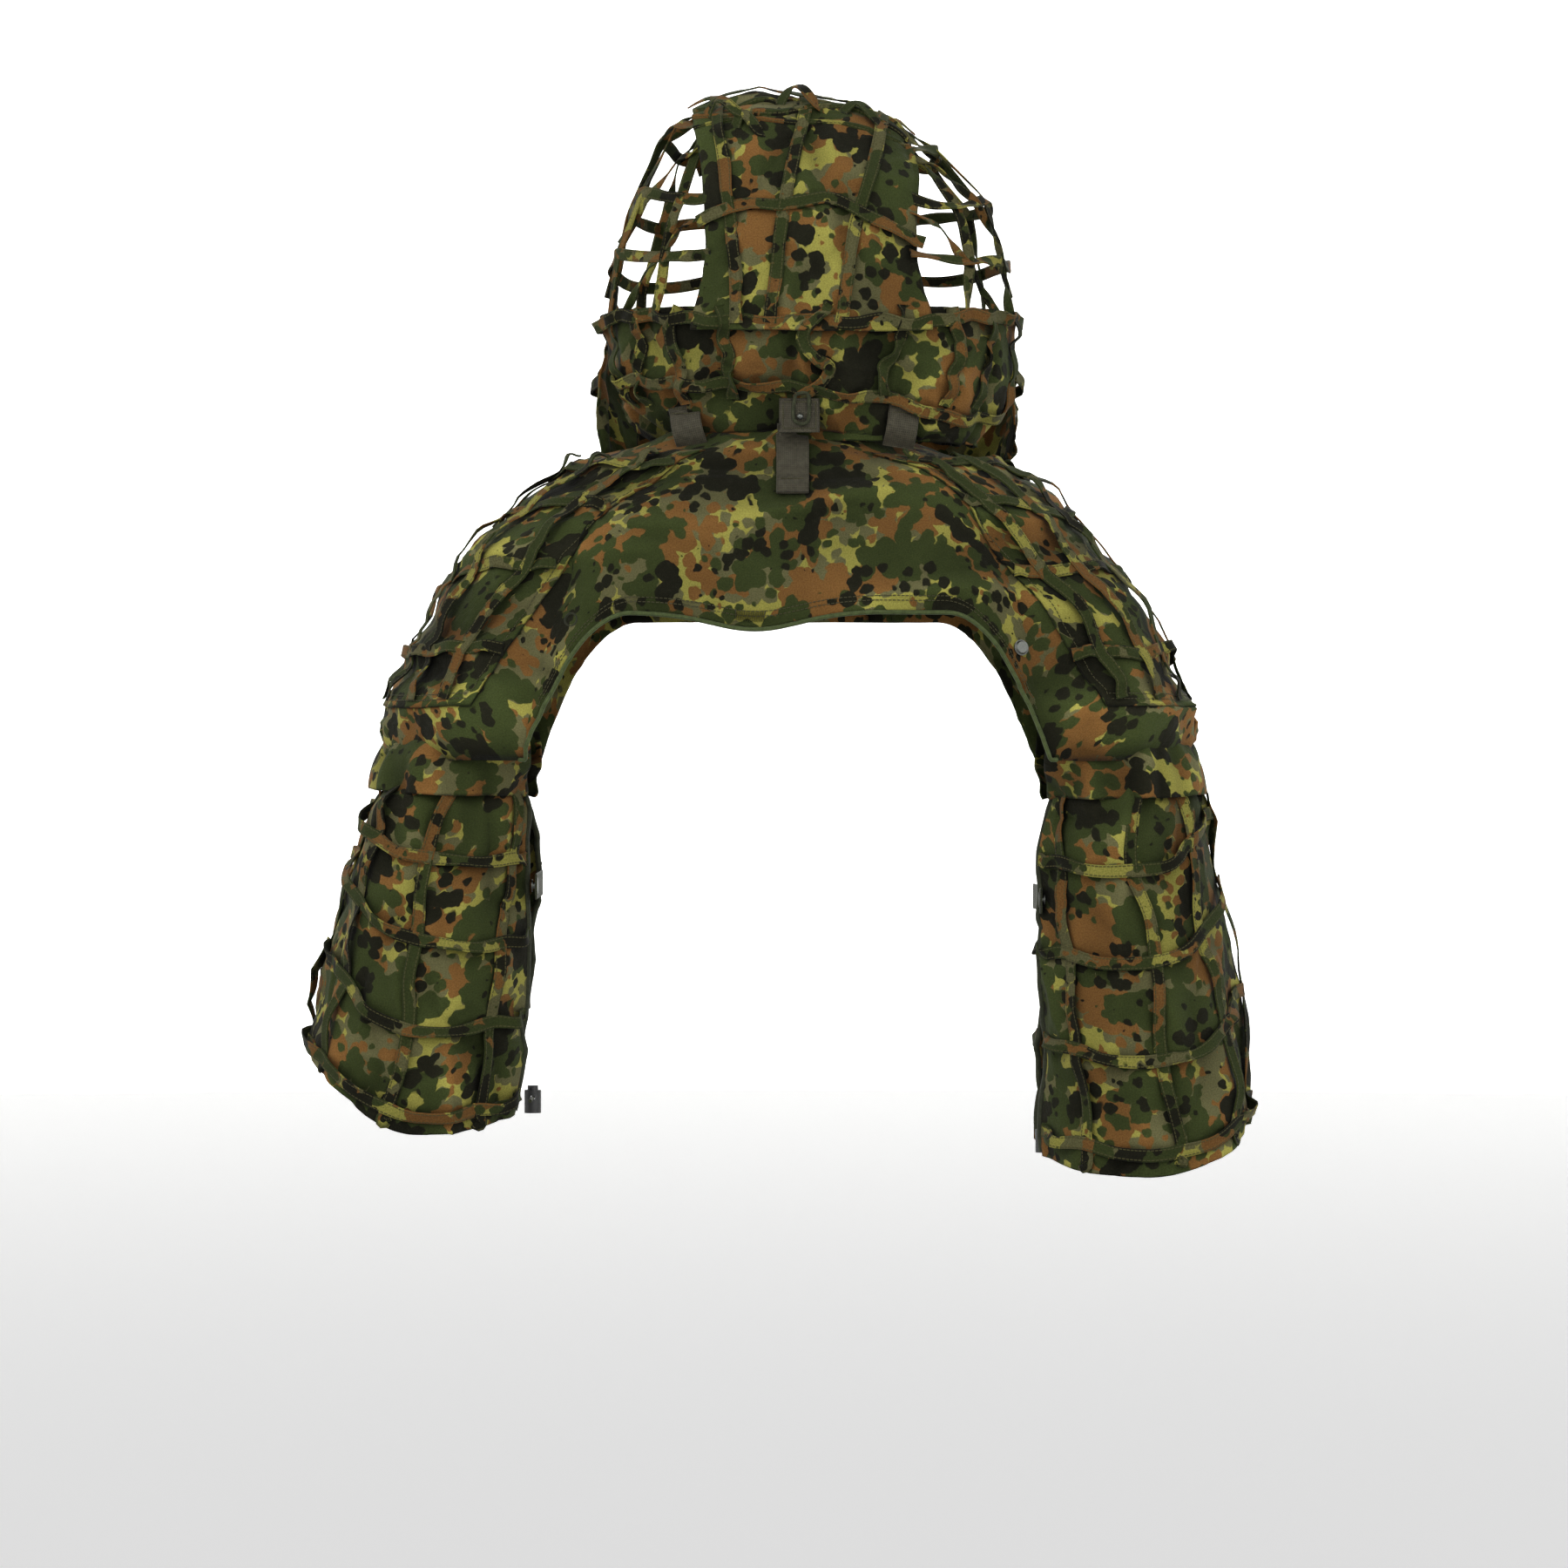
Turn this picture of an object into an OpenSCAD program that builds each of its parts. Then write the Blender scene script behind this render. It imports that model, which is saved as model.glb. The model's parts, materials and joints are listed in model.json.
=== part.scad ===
/* [Cape] */
// Half width over the shoulders at the armhole seam
shoulder_half_w = 312; // [290:1:340]
// Half depth of the cape at chest level
chest_half_d = 132; // [120:1:150]
// Drop from the neck line to the armhole seam
armhole_drop = 245; // [230:1:270]
// Drop from the neck line to the back hem at its centre
back_drop = 133; // [115:1:155]
// Half width of the raised arch of the back hem
arch_half_w = 120; // [108:1:140]
// Half width at the armpit, where the arch meets the armhole
armpit_half_w = 200; // [190:1:212]
// Half width of the neck opening
neck_half_w = 110; // [100:1:116]
// Half depth of the neck opening
neck_half_d = 85; // [78:1:90]
// Thickness of the doubled cotton cloth
cloth_t = 1.4; // [1:0.1:2]

/* [Hood] */
// Sideways lean of the hood's centre from the cape's centre
hood_lean = 17; // [0:1:20]
// Half width of the hood's dome with its nets
hood_half_w = 168; // [160:1:176]
// Half depth of the hood's dome
hood_half_d = 130; // [124:1:138]
// Height of the crown above the neck line
hood_h = 272; // [256:1:288]
// Half width of the solid cloth panel over the head
panel_half_w = 83; // [78:1:92]
// Height at which the nets start above the neck line
skirt_h = 100; // [90:1:110]

/* [Sleeves] */
// Half width of a sleeve at its top
sleeve_top_half_w = 59; // [54:1:62]
// Half width of a sleeve at its hem
sleeve_hem_half_w = 80; // [74:1:86]
// Half depth of a sleeve at its top
sleeve_top_half_d = 92; // [86:1:98]
// Half depth of a sleeve at its hem
sleeve_hem_half_d = 104; // [98:1:112]
// Length of the left sleeve down its back
left_sleeve_l = 280; // [250:1:300]
// Length of the right sleeve down its back
right_sleeve_l = 312; // [280:1:330]
// Half angle of the opening down a sleeve's inner side
open_half_a = 24; // [18:1:30]

/* [Tapes and fittings] */
// Width of the lattice tapes
tape_w = 11; // [9:0.5:14]
// Thickness of the lattice tapes
tape_t = 1.2; // [0.9:0.1:1.6]
// Width of the webbing
webbing_w = 25; // [20:1:30]
// Thickness of the webbing
webbing_t = 1.8; // [1.4:0.1:2.2]
// Diameter of a press stud's cap
stud_d = 12; // [10:0.5:14]
// Diameter of the elastic hem cord
cord_d = 3; // [2.5:0.1:3.4]
// Length of the cord lock's barrel
lock_l = 18; // [16:1:22]
// Travel of the cord lock's plunger
press_travel = 3.5; // [2.5:0.5:4]

/* [Hidden] */
$fn = 40;
LEFT = -1;
RIGHT = 1;
gap = 0.4;              // free space between stacked layers
seam_gap = 0.6;         // free space where two panels meet edge to edge
knee_share = 0.86;      // how far out the shoulder's corner stands, of the half width
knee_z = -30;           // height of the shoulder curve's corner at the back and front
side_sink = 15;         // how much lower that corner is over the shoulder's point
dip_drop = 13;          // depth of the back hem's wave left of its centre
dip_x = -25;            // that wave's centre and half width
dip_w = 48;
neck_y = 2;             // the neck opening's centre, ahead of the origin
neck_rise = 5;          // height of the neck line at the back
neck_fall = 22;         // fall of the neck line from back to front
plan_n = 3;             // squareness of the cape and sleeve plans
dome_n = 2.6;           // squareness of the hood's dome
hood_y = 5;             // the dome's centre, ahead of the origin
hood_seat = 9;          // height of the hood skirt's lower edge at the nape
skirt_flare = 0.7;      // how early the hood's skirt widens above the neck
drape_drop = 25;        // how far the drape hangs below the neck line in front
sleeve_gap = 6;         // free height of the armhole seam between cape and sleeve
tape_lift = cloth_t + gap;                 // inner face of the first tape layer
cross_lift = tape_lift + tape_t + 1;       // inner face of the second tape layer
binding_t = 1;                             // thickness of the bindings
ease_gap = 1.2;         // free space between layers that bend both ways
patch_lift = cloth_t + ease_gap;           // inner face of the shoulder patch
over_lift = patch_lift + cloth_t + 0.9;    // first tape layer on a shoulder patch
under_lift = over_lift + tape_t + ease_gap; // second tape layer on a shoulder patch
step = 0.02;                               // parameter step for a surface's slopes

// ---- plain maths -------------------------------------------------------------------
function spow(x, p) = sign(x) * pow(abs(x), p);
function mix(a, b, t) = a + (b - a) * t;
function ease(t) = let (u = min(1, max(0, t))) u * u * (3 - 2 * u);
function unit(v) = v / norm(v);
function flat(list) = [for (row = list) each row];
function spread(a, b, n) = [for (i = [0:n]) mix(a, b, i / n)];

// a surface is a function of (turn, run); its outward side is where turn grows anticlockwise
function normal_at(f, a, s) = unit(cross(f(a, s + step) - f(a, s - step), f(a + 1, s) - f(a - 1, s)));
function lifted(f, a, s, h) = f(a, s) + h * normal_at(f, a, s);

// ---- solids made from grids --------------------------------------------------------
function cell(a, b, c, d) = [[a, b, c], [a, c, d]];

// closed solid between two grids of points with the same rows and columns
module between(low, high) {
    rows = len(low);
    cols = len(low[0]);
    n = rows * cols;
    polyhedron(
        points = concat(flat(low), flat(high)),
        faces = flat(concat(
            [for (j = [0:rows - 2]) for (i = [0:cols - 2])
                cell(j * cols + i, j * cols + i + 1, (j + 1) * cols + i + 1, (j + 1) * cols + i)],
            [for (j = [0:rows - 2]) for (i = [0:cols - 2])
                cell(n + j * cols + i, n + (j + 1) * cols + i,
                     n + (j + 1) * cols + i + 1, n + j * cols + i + 1)],
            [for (j = [0:rows - 2]) cell(j * cols, (j + 1) * cols, n + (j + 1) * cols, n + j * cols)],
            [for (j = [0:rows - 2])
                cell((j + 1) * cols - 1, n + (j + 1) * cols - 1, n + (j + 2) * cols - 1, (j + 2) * cols - 1)],
            [for (i = [0:cols - 2]) cell(i, n + i, n + i + 1, i + 1)],
            [for (i = [0:cols - 2])
                cell(n - cols + i, n - cols + i + 1, 2 * n - cols + i + 1, 2 * n - cols + i)]
        )));
}

// a sheet of cloth on surface f, from height h0 to h1 above it
module cloth(f, turns, runs, h0, h1) {
    between([for (s = runs) [for (a = turns) lifted(f, a, s, h0)]],
            [for (s = runs) [for (a = turns) lifted(f, a, s, h1)]]);
}

// a flat tape of width w along a path of [turn, run] pairs on surface f
module tape(f, path, w, h0, h1) {
    last = len(path) - 1;
    mid = [for (p = path) lifted(f, p[0], p[1], h0)];
    out = [for (p = path) normal_at(f, p[0], p[1])];
    side = [for (i = [0:last])
        unit(cross(mid[min(last, i + 1)] - mid[max(0, i - 1)], out[i])) * w / 2];
    between([for (i = [0:last]) [mid[i] - side[i], mid[i] + side[i]]],
            [for (i = [0:last]) [mid[i] - side[i], mid[i] + side[i]] + (h1 - h0) * [out[i], out[i]]]);
}

// ---- surfaces ----------------------------------------------------------------------
function neck_pt(a) = [
    neck_half_w * cos(a),
    neck_y + neck_half_d * sin(a),
    neck_rise - neck_fall * (1 + sin(a)) / 2];
function hem_x(a) = shoulder_half_w * spow(cos(a), 2 / plan_n);
function arch_share(x) = min(1, max(0, (abs(x) - arch_half_w) / (armpit_half_w - arch_half_w)));
function hem_dip(a) = dip_drop * max(0, -sin(a)) * exp(-pow((hem_x(a) - dip_x) / dip_w, 2));
function hem_pt(a) = [
    hem_x(a),
    chest_half_d * spow(sin(a), 2 / plan_n),
    -mix(back_drop, armhole_drop, pow(arch_share(hem_x(a)), 2)) - hem_dip(a)];
function knee_pt(a) = [
    knee_share * hem_pt(a)[0],
    0.97 * hem_pt(a)[1],
    knee_z - side_sink * pow(cos(a), 2)];
cape = function (a, s) pow(1 - s, 2) * neck_pt(a) + 2 * s * (1 - s) * knee_pt(a) + s * s * hem_pt(a);

// the dome over the head: turn is the angle over the crown from the nape, run the offset sideways
function dome_reach(x, t) = pow((1 - pow(abs(x) / hood_half_w, dome_n))
    / (pow(abs(cos(t)) / hood_half_d, dome_n) + pow(abs(sin(t)) / hood_h, dome_n)), 1 / dome_n);
function dome_pt(t, x) =
    [hood_lean + x, hood_y - dome_reach(x, t) * cos(t), dome_reach(x, t) * sin(t)];
function dome_part(x, z) = 1 - pow(abs(x) / hood_half_w, dome_n) - pow(abs(z) / hood_h, dome_n);
function edge_turn(x, z) = atan2(z, hood_half_d * pow(max(0.001, dome_part(x, z)), 1 / dome_n));
// share 0 at the skirt's upper edge, 100 at the brim over the forehead
crown = function (v, x) dome_pt(mix(edge_turn(x, skirt_h + seam_gap), brim_turn, v / 100), x);
// the gathered skirt: turn is the plan angle, run 0 at the neck to 1 where the nets start
function dome_plan(a, z, k) = let (e = pow(1 - pow(z / hood_h, dome_n), 1 / dome_n))
    [hood_lean + k[0] * e * spow(cos(a), 2 / dome_n), hood_y + k[1] * e * spow(sin(a), 2 / dome_n), z];
skirt = function (a, s) let (q = pow(max(0, s), skirt_flare))
    dome_plan(a, mix(hood_seat, skirt_h, s),
        [mix(neck_half_w + 8, hood_half_w, q), mix(neck_half_d + 6, hood_half_d, q)]);
// the dome by plan turn, the run growing downward from the crown; the side nets lie on it
dome_side = function (a, s) dome_plan(a, hood_h * (1 - s), [hood_half_w, hood_half_d]);
function drape_top(a) = mix(128, 62, ease(sin(a) * 1.15));
function drape_low(a) = mix(-8, -drape_drop, ease(sin(a)));
drape = function (a, s) let (z = mix(drape_low(a), drape_top(a), s))
    dome_plan(a, max(0, z), [mix(153, hood_half_w, s), mix(140, hood_half_d, s)]) + [0, 0, min(0, z)];

// a sleeve: turn 0 faces away from the body, run 0 at the armhole to 1 at the hem
hem_rise_out = [62, 34];    // how much shorter the left and right sleeves are over their outer side
hem_rise_in = 16;           // and along their inner side
function hem_drop(side, a) =
    (side < 0 ? left_sleeve_l : right_sleeve_l)
    - (side < 0 ? hem_rise_out[0] : hem_rise_out[1]) * pow(max(0, cos(a)), 1.5)
    - hem_rise_in * pow(max(0, -cos(a)), 2);
function sleeve_pt(side, a, s) = let (
        b = a + (side < 0 ? 180 : 0),
        wide = mix(sleeve_top_half_w, sleeve_hem_half_w, sin(90 * min(1, s))),
        deep = mix(sleeve_top_half_d, sleeve_hem_half_d, sin(90 * min(1, s))))
    [side * mix(shoulder_half_w - sleeve_top_half_w + 7, shoulder_half_w - 36, s) + wide * spow(cos(b), 0.8),
     deep * spow(sin(b), 0.8),
     -armhole_drop - sleeve_gap - s * hem_drop(side, a)];
sleeve_l_f = function (a, s) sleeve_pt(LEFT, a, s);
sleeve_r_f = function (a, s) sleeve_pt(RIGHT, a, s);
function sleeve_of(side) = side < 0 ? sleeve_l_f : sleeve_r_f;
open_turn = 180 - open_half_a;

// ---- colours -----------------------------------------------------------------------
module camo() {
    color("#3a4426") children();
}
module dark_tape() {
    color("#2c3420") children();
}
module webbing() {
    color("#57523f") children();
}
module binding() {
    color("#4c5a34") children();
}
module steel() {
    color("#b8bab5") children();
}
module moulded() {
    color("#1c1c1c") children();
}
module elastic() {
    color("#3b3f2c") children();
}

// ---- cape --------------------------------------------------------------------------
edge_a = 0.35;          // half the turn left free at a shoulder seam
module back_yoke() {
    camo() cloth(cape, spread(180 + edge_a, 360 - edge_a, 48), spread(0, 1, 9), 0, cloth_t);
}

placket_half_w = 14;    // half the overlap of the front opening
flap_w = 92;            // width of the opening flap
flap_top_run = 0.34;    // where the flap starts below the neck line
function turn_at(x) = acos(min(1, max(-1, spow(x / shoulder_half_w, plan_n / 2))));

module front_panel_left() {
    camo() cloth(cape, spread(turn_at(-placket_half_w) - 6, 180 - edge_a, 24), spread(0, 1, 9), 0, cloth_t);
}
// the right front stays open where the flap closes over it
module front_panel_right() {
    camo() cloth(cape, spread(edge_a, turn_at(flap_w - 8), 20), spread(0, 1, 9), 0, cloth_t);
}

module yoke_binding() {
    binding() cloth(cape, spread(turn_at(armpit_half_w) + 180, 360 - turn_at(armpit_half_w), 26),
        [0.945, 1], cloth_t + gap, cloth_t + gap + binding_t);
}

mesh_t = 0.8;           // thickness of the mesh
// breathing mesh standing up inside the hood's skirt, round the back of the neck
module neck_mesh() {
    low_z = neck_rise + 2.5;
    high_z = neck_rise + 24;
    ring = function (a, s) [
        (neck_half_w - 8) * cos(a), neck_y + (neck_half_d - 6) * sin(a), mix(high_z, low_z, s)];
    color("#262820") cloth(ring, spread(200, 340, 14), [0, 1], 0, mesh_t);
}

// the patch over a shoulder: u runs from the neck outward, v from the back over to the front
function patch_at(side, u, v) = [(side < 0 ? 180 : 0) - side * v * mix(78, 50, u), mix(0.17, 0.9, u)];
function patch_fn(side) = function (v, u) let (p = patch_at(side, u, v)) cape(p[0], p[1]);
patch_l_f = patch_fn(LEFT);
patch_r_f = patch_fn(RIGHT);
// v is stored as a turn of -100 to 100 so that slopes are taken over one unit
function on_patch(side) = side < 0
    ? function (v, u) patch_l_f(v / 100, u)
    : function (v, u) patch_r_f(-v / 100, u);
patch_turns = spread(-92, 92, 34);
module shoulder_patch(side) {
    camo() cloth(on_patch(side), patch_turns, spread(0, 1, 11), patch_lift, patch_lift + cloth_t);
}
module shoulder_tapes_over(side) {
    for (u = [0.1, 0.33, 0.58, 0.82])
        dark_tape() tape(on_patch(side), [for (v = spread(-88, 88, 26)) [v, u]], tape_w,
            over_lift, over_lift + tape_t);
}
module shoulder_tapes_down(side) {
    for (v = [-76, -52, -26, 0, 26, 52, 76])
        dark_tape() tape(on_patch(side), [for (u = spread(0.03, 0.97, 11)) [v, u]], tape_w,
            under_lift, under_lift + tape_t);
}

strap_run = [0.1, 0.47];    // where the webbing strap starts and ends down the back
module centre_strap() {
    webbing() tape(cape, [for (s = spread(strap_run[0], strap_run[1], 6)) [270, s]], webbing_w,
        cloth_t + gap, cloth_t + gap + webbing_t);
}

// round fittings stand on a surface point with their axis along its normal
module on_surface(p, n) {
    translate(p)
        rotate([0, acos(n[2]), atan2(n[1], n[0])])
            children();
}
module stud_post(r) {
    steel() difference() {
        union() {
            cylinder(r = r, h = 0.8);
            cylinder(r = r * 0.45, h = 2.6);
        }
        translate([0, 0, -1]) cylinder(r = r * 0.2, h = 5);
    }
}
stud_runs = [0.5, 0.68, 0.86];      // where the front's press studs sit
stud_turn = turn_at(-placket_half_w + 6);   // turn of the flap's free edge
flap_lift = cloth_t + 1.6;  // inner face of the flap above the cape
module front_studs() {
    for (s = stud_runs)
        on_surface(lifted(cape, stud_turn - 4, s, cloth_t + 0.02), normal_at(cape, stud_turn - 4, s))
            stud_post(stud_d / 2 - 1.2);
}
module underarm_stud(side) {
    stud_run = 0.85;
    a = 360 - turn_at(armpit_half_w - 14);
    on_surface(lifted(cape, a, stud_run, cloth_t + gap), normal_at(cape, a, stud_run)) {
        steel() cylinder(r = stud_d / 2, h = 1);
        steel() translate([0, 0, 1]) cylinder(r1 = stud_d / 2 - 0.6, r2 = stud_d / 2 - 1.6, h = 1.6);
    }
}
module thread_loop_left() {
    a = 180 + turn_at(armpit_half_w - 26);
    elastic() on_surface(lifted(cape, a, 0.84, cloth_t + 1.3), normal_at(cape, a, 0.84))
        rotate_extrude() translate([5, 0]) circle(r = 1, $fn = 16);
}

// ---- front flap --------------------------------------------------------------------
flap_turns = [turn_at(flap_w), stud_turn];
module front_flap() {
    difference() {
        camo() cloth(cape, spread(flap_turns[0], flap_turns[1], 16), spread(flap_top_run, 1, 7),
            flap_lift, flap_lift + cloth_t);
        for (s = stud_runs)
            on_surface(lifted(cape, stud_turn - 4, s, 0), normal_at(cape, stud_turn - 4, s))
                cylinder(r = stud_d / 2 * 0.45 + 0.8, h = 12);
    }
}
module flap_stud_caps() {
    for (s = stud_runs)
        on_surface(lifted(cape, stud_turn - 4, s, flap_lift + cloth_t + 0.05),
            normal_at(cape, stud_turn - 4, s))
            steel() cylinder(r = stud_d / 2, h = 2);
}

// ---- hood --------------------------------------------------------------------------
brim_turn = 122;        // the brim's turn over the forehead
module hood_panel() {
    camo() cloth(crown, spread(0, 100, 22), spread(-panel_half_w, panel_half_w, 12), -cloth_t, 0);
}
skirt_a = 0.5;          // half the turn left free at the side seams
module hood_skirt() {
    camo() cloth(function (a, s) skirt(a, 1 - s), spread(180 + skirt_a, 360 - skirt_a, 34),
        spread(0.015, 1, 7), -cloth_t, 0);
}
skirt_down = function (a, s) skirt(a, 1 - s);
drape_down = function (a, s) drape(a, 1 - s);
module front_drape() {
    camo() cloth(drape_down, spread(0.6, 179.4, 30), spread(0, 1, 6), -cloth_t, 0);
}
module brim_binding() {
    binding() tape(crown, [for (x = spread(-panel_half_w + 2, panel_half_w - 2, 12)) [97, x]],
        10, gap, gap + binding_t);
}
// down tapes as offsets at the skirt's seam and over the crown
down_offsets = [[-58, -66], [-30, -4], [24, 56]];
drape_turns = [22, 48, 74, 106, 132, 158];
module hood_tapes_down() {
    for (x = down_offsets)
        dark_tape() tape(crown, [for (v = spread(1, 92, 24)) [v, mix(x[0], x[1], ease(v / 50))]],
            tape_w, gap, gap + tape_t);
    for (a = drape_turns)
        dark_tape() tape(drape_down, [for (s = spread(0.06, 0.94, 6)) [a, s]], tape_w, gap, gap + tape_t);
}
// the tape over the back of the head lies in an arch, the lower one on the skirt slants
function arch_v(x) = 24.5 - 7 * pow((x + 20) / 100, 2);
skirt_slant = [[185, 0.45], [215, 0.52], [250, 0.6], [270, 0.64], [284, 0.7], [310, 0.8], [355, 0.74]];
module hood_tapes_across() {
    for (v = [4, 54, 78])
        dark_tape() tape(crown, [for (x = spread(-panel_half_w + 1, panel_half_w - 1, 10)) [v, x]],
            tape_w, 2 * gap + tape_t, 2 * gap + 2 * tape_t);
    dark_tape() tape(crown, [for (x = spread(-panel_half_w + 1, panel_half_w - 1, 14)) [arch_v(x), x]],
        tape_w, 2 * gap + tape_t, 2 * gap + 2 * tape_t);
    dark_tape() tape(skirt_down, [for (a = spread(184, 356, 26)) [a, 0.12 + 0.04 * sin(3 * a)]],
        tape_w, gap, gap + tape_t);
    dark_tape() tape(skirt_down, [for (a = spread(185, 355, 26)) [a, lookup(a, skirt_slant)]],
        tape_w, gap, gap + tape_t);
    dark_tape() tape(drape_down, [for (a = spread(8, 172, 26)) [a, 0.5]],
        tape_w, ease_gap + tape_t, ease_gap + 2 * tape_t);
}
net_edge = panel_half_w + 7;    // the nets' inner edge, beside the cloth panel
net_rows_z = [142, 186, 230];
upright_turns = [48, 20, -8, -36];
function run_at(z) = 1 - z / hood_h;
function level_share(z) = pow(1 - pow(z / hood_h, dome_n), 1 / dome_n);
// plan turn behind the ear line at which height z meets the nets' inner edge
function edge_side(z) = acos(min(1, pow(net_edge / (hood_half_w * level_share(z)), dome_n / 2)));
// height at which an upright of that turn meets the same edge
function edge_height(t) = hood_h * pow(
    1 - pow(net_edge / (hood_half_w * pow(cos(t), 2 / dome_n)), dome_n), 1 / dome_n);
function net_turn(side, t) = side < 0 ? 180 + t : 360 - t;
module net_hoops(side) {
    for (t = upright_turns) {
        foot = t > 0 ? skirt_h + seam_gap : drape_top(net_turn(side, t)) + seam_gap;
        dark_tape() tape(dome_side,
            [for (z = spread(foot, edge_height(t), 10)) [net_turn(side, t), run_at(z)]],
            tape_w, 0, tape_t);
    }
}
module net_rows(side) {
    for (z = net_rows_z)
        dark_tape() tape(dome_side,
            [for (t = spread(-edge_side(z), edge_side(z), 18)) [net_turn(side, t), run_at(z)]],
            tape_w, tape_t + ease_gap, 2 * tape_t + ease_gap);
}
nape_run = 0.85;        // where the nape patch sits down the skirt
module nape_patch() {
    webbing() tape(skirt_down, [for (a = spread(264, 271.5, 4)) [a, nape_run]], 26, gap, gap + webbing_t);
}
bead_at = lifted(skirt_down, 268.5, nape_run, 2.8 + gap + webbing_t);
module nape_bead() {
    steel() translate(bead_at) sphere(r = 2.4);
}
module nape_loop() {
    elastic() on_surface(lifted(skirt_down, 268.9, nape_run, 1.15 + gap + webbing_t),
        normal_at(skirt_down, 268.9, nape_run))
        difference() {
            translate([-6.5, -6.5, -0.9]) cube([13, 13, 1.8]);
            translate([-4.7, -4.7, -2]) cube([9.4, 9.4, 4]);
        }
}
loop_w = 20;            // footprint and height of a tape loop on the crown
loop_rise = 11;
loop_share = 46;        // their place along the crown
// a tape that stands up from surface f in an arch, with both feet on it
module tape_arch(f, v, x, w, low) {
    mid = [for (t = spread(0, 1, 12)) lifted(f, v, x + loop_w * (t - 0.5), low + loop_rise * sin(180 * t))];
    across = unit(f(v + 1, x) - f(v, x));
    out = [for (i = [0:12]) unit(cross(across, mid[min(12, i + 1)] - mid[max(0, i - 1)]))];
    side = across * w / 2;
    between([for (i = [0:12]) [mid[i] - side, mid[i] + side]],
            [for (i = [0:12]) [mid[i] - side, mid[i] + side] + tape_t * [out[i], out[i]]]);
}
module crown_loops() {
    for (x = [-44, -22, 30])
        webbing() tape_arch(crown, loop_share, x, tape_w, gap);
}
// webbing loops sewn to the skirt either side of the nape
module webbing_loops() {
    for (a = [241, 298])
        on_surface(lifted(skirt_down, a, 0.8, gap + 4), normal_at(skirt_down, a, 0.8))
            webbing() rotate([90, 0, 0]) linear_extrude(webbing_w, center = true)
                difference() {
                    translate([-16, 0]) square([32, 8]);
                    translate([-14, 1.6]) square([28, 4.8]);
                }
}

// ---- sleeves -----------------------------------------------------------------------
module armhole_gather(side) {
    ring = sleeve_of(side);
    camo() cloth(function (a, s) ring(a, s * 0.06), spread(-open_turn + 6, open_turn - 6, 34), [0.05, 0.9],
        cloth_t + gap, cloth_t + gap + 2);
}
module sleeve(side) {
    camo() cloth(sleeve_of(side), spread(-open_turn, open_turn, 30), spread(0, 1, 8), 0, cloth_t);
}
module sleeve_hem(side) {
    dark_tape() cloth(sleeve_of(side), spread(-open_turn + 1, open_turn - 1, 30), [0.945, 1],
        cloth_t + gap, cloth_t + gap + 1);
}
down_turns = [[0, 0], [52, 38], [90, 79], [142, 118]];
module sleeve_tapes_down(side) {
    for (pair = down_turns)
        for (way = pair[0] == 0 ? [1] : [1, -1])
            dark_tape() tape(sleeve_of(side),
                [for (s = spread(0.07, 0.93, 9)) [way * mix(pair[0], pair[1], s), s]],
                tape_w, tape_lift, tape_lift + tape_t);
}
across_runs = [[0.25, 0.13], [0.47, 0.34], [0.7, 0.62], [0.9, 0.87]];   // over the back, over the outside
module sleeve_tapes_across(side) {
    for (pair = across_runs)
        dark_tape() tape(sleeve_of(side), [for (a = spread(-open_turn + 4, open_turn - 4, 32))
            [a, mix(pair[0], pair[1], ease(1.15 - abs(a) / 60))]], tape_w, cross_lift, cross_lift + tape_t);
}
module sleeve_edges(side) {
    for (way = [-1, 1])
        binding() tape(sleeve_of(side), [for (s = spread(0.07, 0.93, 8)) [way * (open_turn - 2.5), s]], 9,
            -ease_gap - 1, -ease_gap);
}

// elastic strap that closes a sleeve's inner side, with its press stud
strap_run_at = 0.34;    // how far down the sleeve the strap crosses
strap_w = 20;           // the strap's width and thickness
strap_t = 1.6;
strap_reach = 62;       // half the strap's length, past the sleeve's edges
function edge_pt(side, s) = sleeve_pt(side, open_turn, s);
function strap_x(side) = edge_pt(side, strap_run_at)[0] - side * (cloth_t + 2.6);
function strap_z(side) = edge_pt(side, strap_run_at)[2];
stud_in = 11;           // the press stud's centre from the strap's free end
module strap_stud(side) {
    translate([strap_x(side) + side * 1.9, stud_in - strap_reach, strap_z(side)])
        rotate([0, -90 * side, 0])
            stud_post(stud_d / 2 - 1.2);
}
module inner_strap(side) {
    elastic() difference() {
        translate([strap_x(side) - strap_t / 2, -strap_reach, strap_z(side) - strap_w / 2])
            cube([strap_t, 2 * strap_reach, strap_w]);
        translate([strap_x(side), stud_in - strap_reach, strap_z(side)])
            rotate([0, 90, 0]) cylinder(r = stud_d / 2 * 0.45 + 0.6, h = 20, center = true);
    }
}
module strap_cap(side) {
    translate([strap_x(side) - side * (strap_t / 2 + 0.05), stud_in - strap_reach, strap_z(side)])
        rotate([0, -90 * side, 0])
            steel() cylinder(r = stud_d / 2, h = 2);
}

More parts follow.
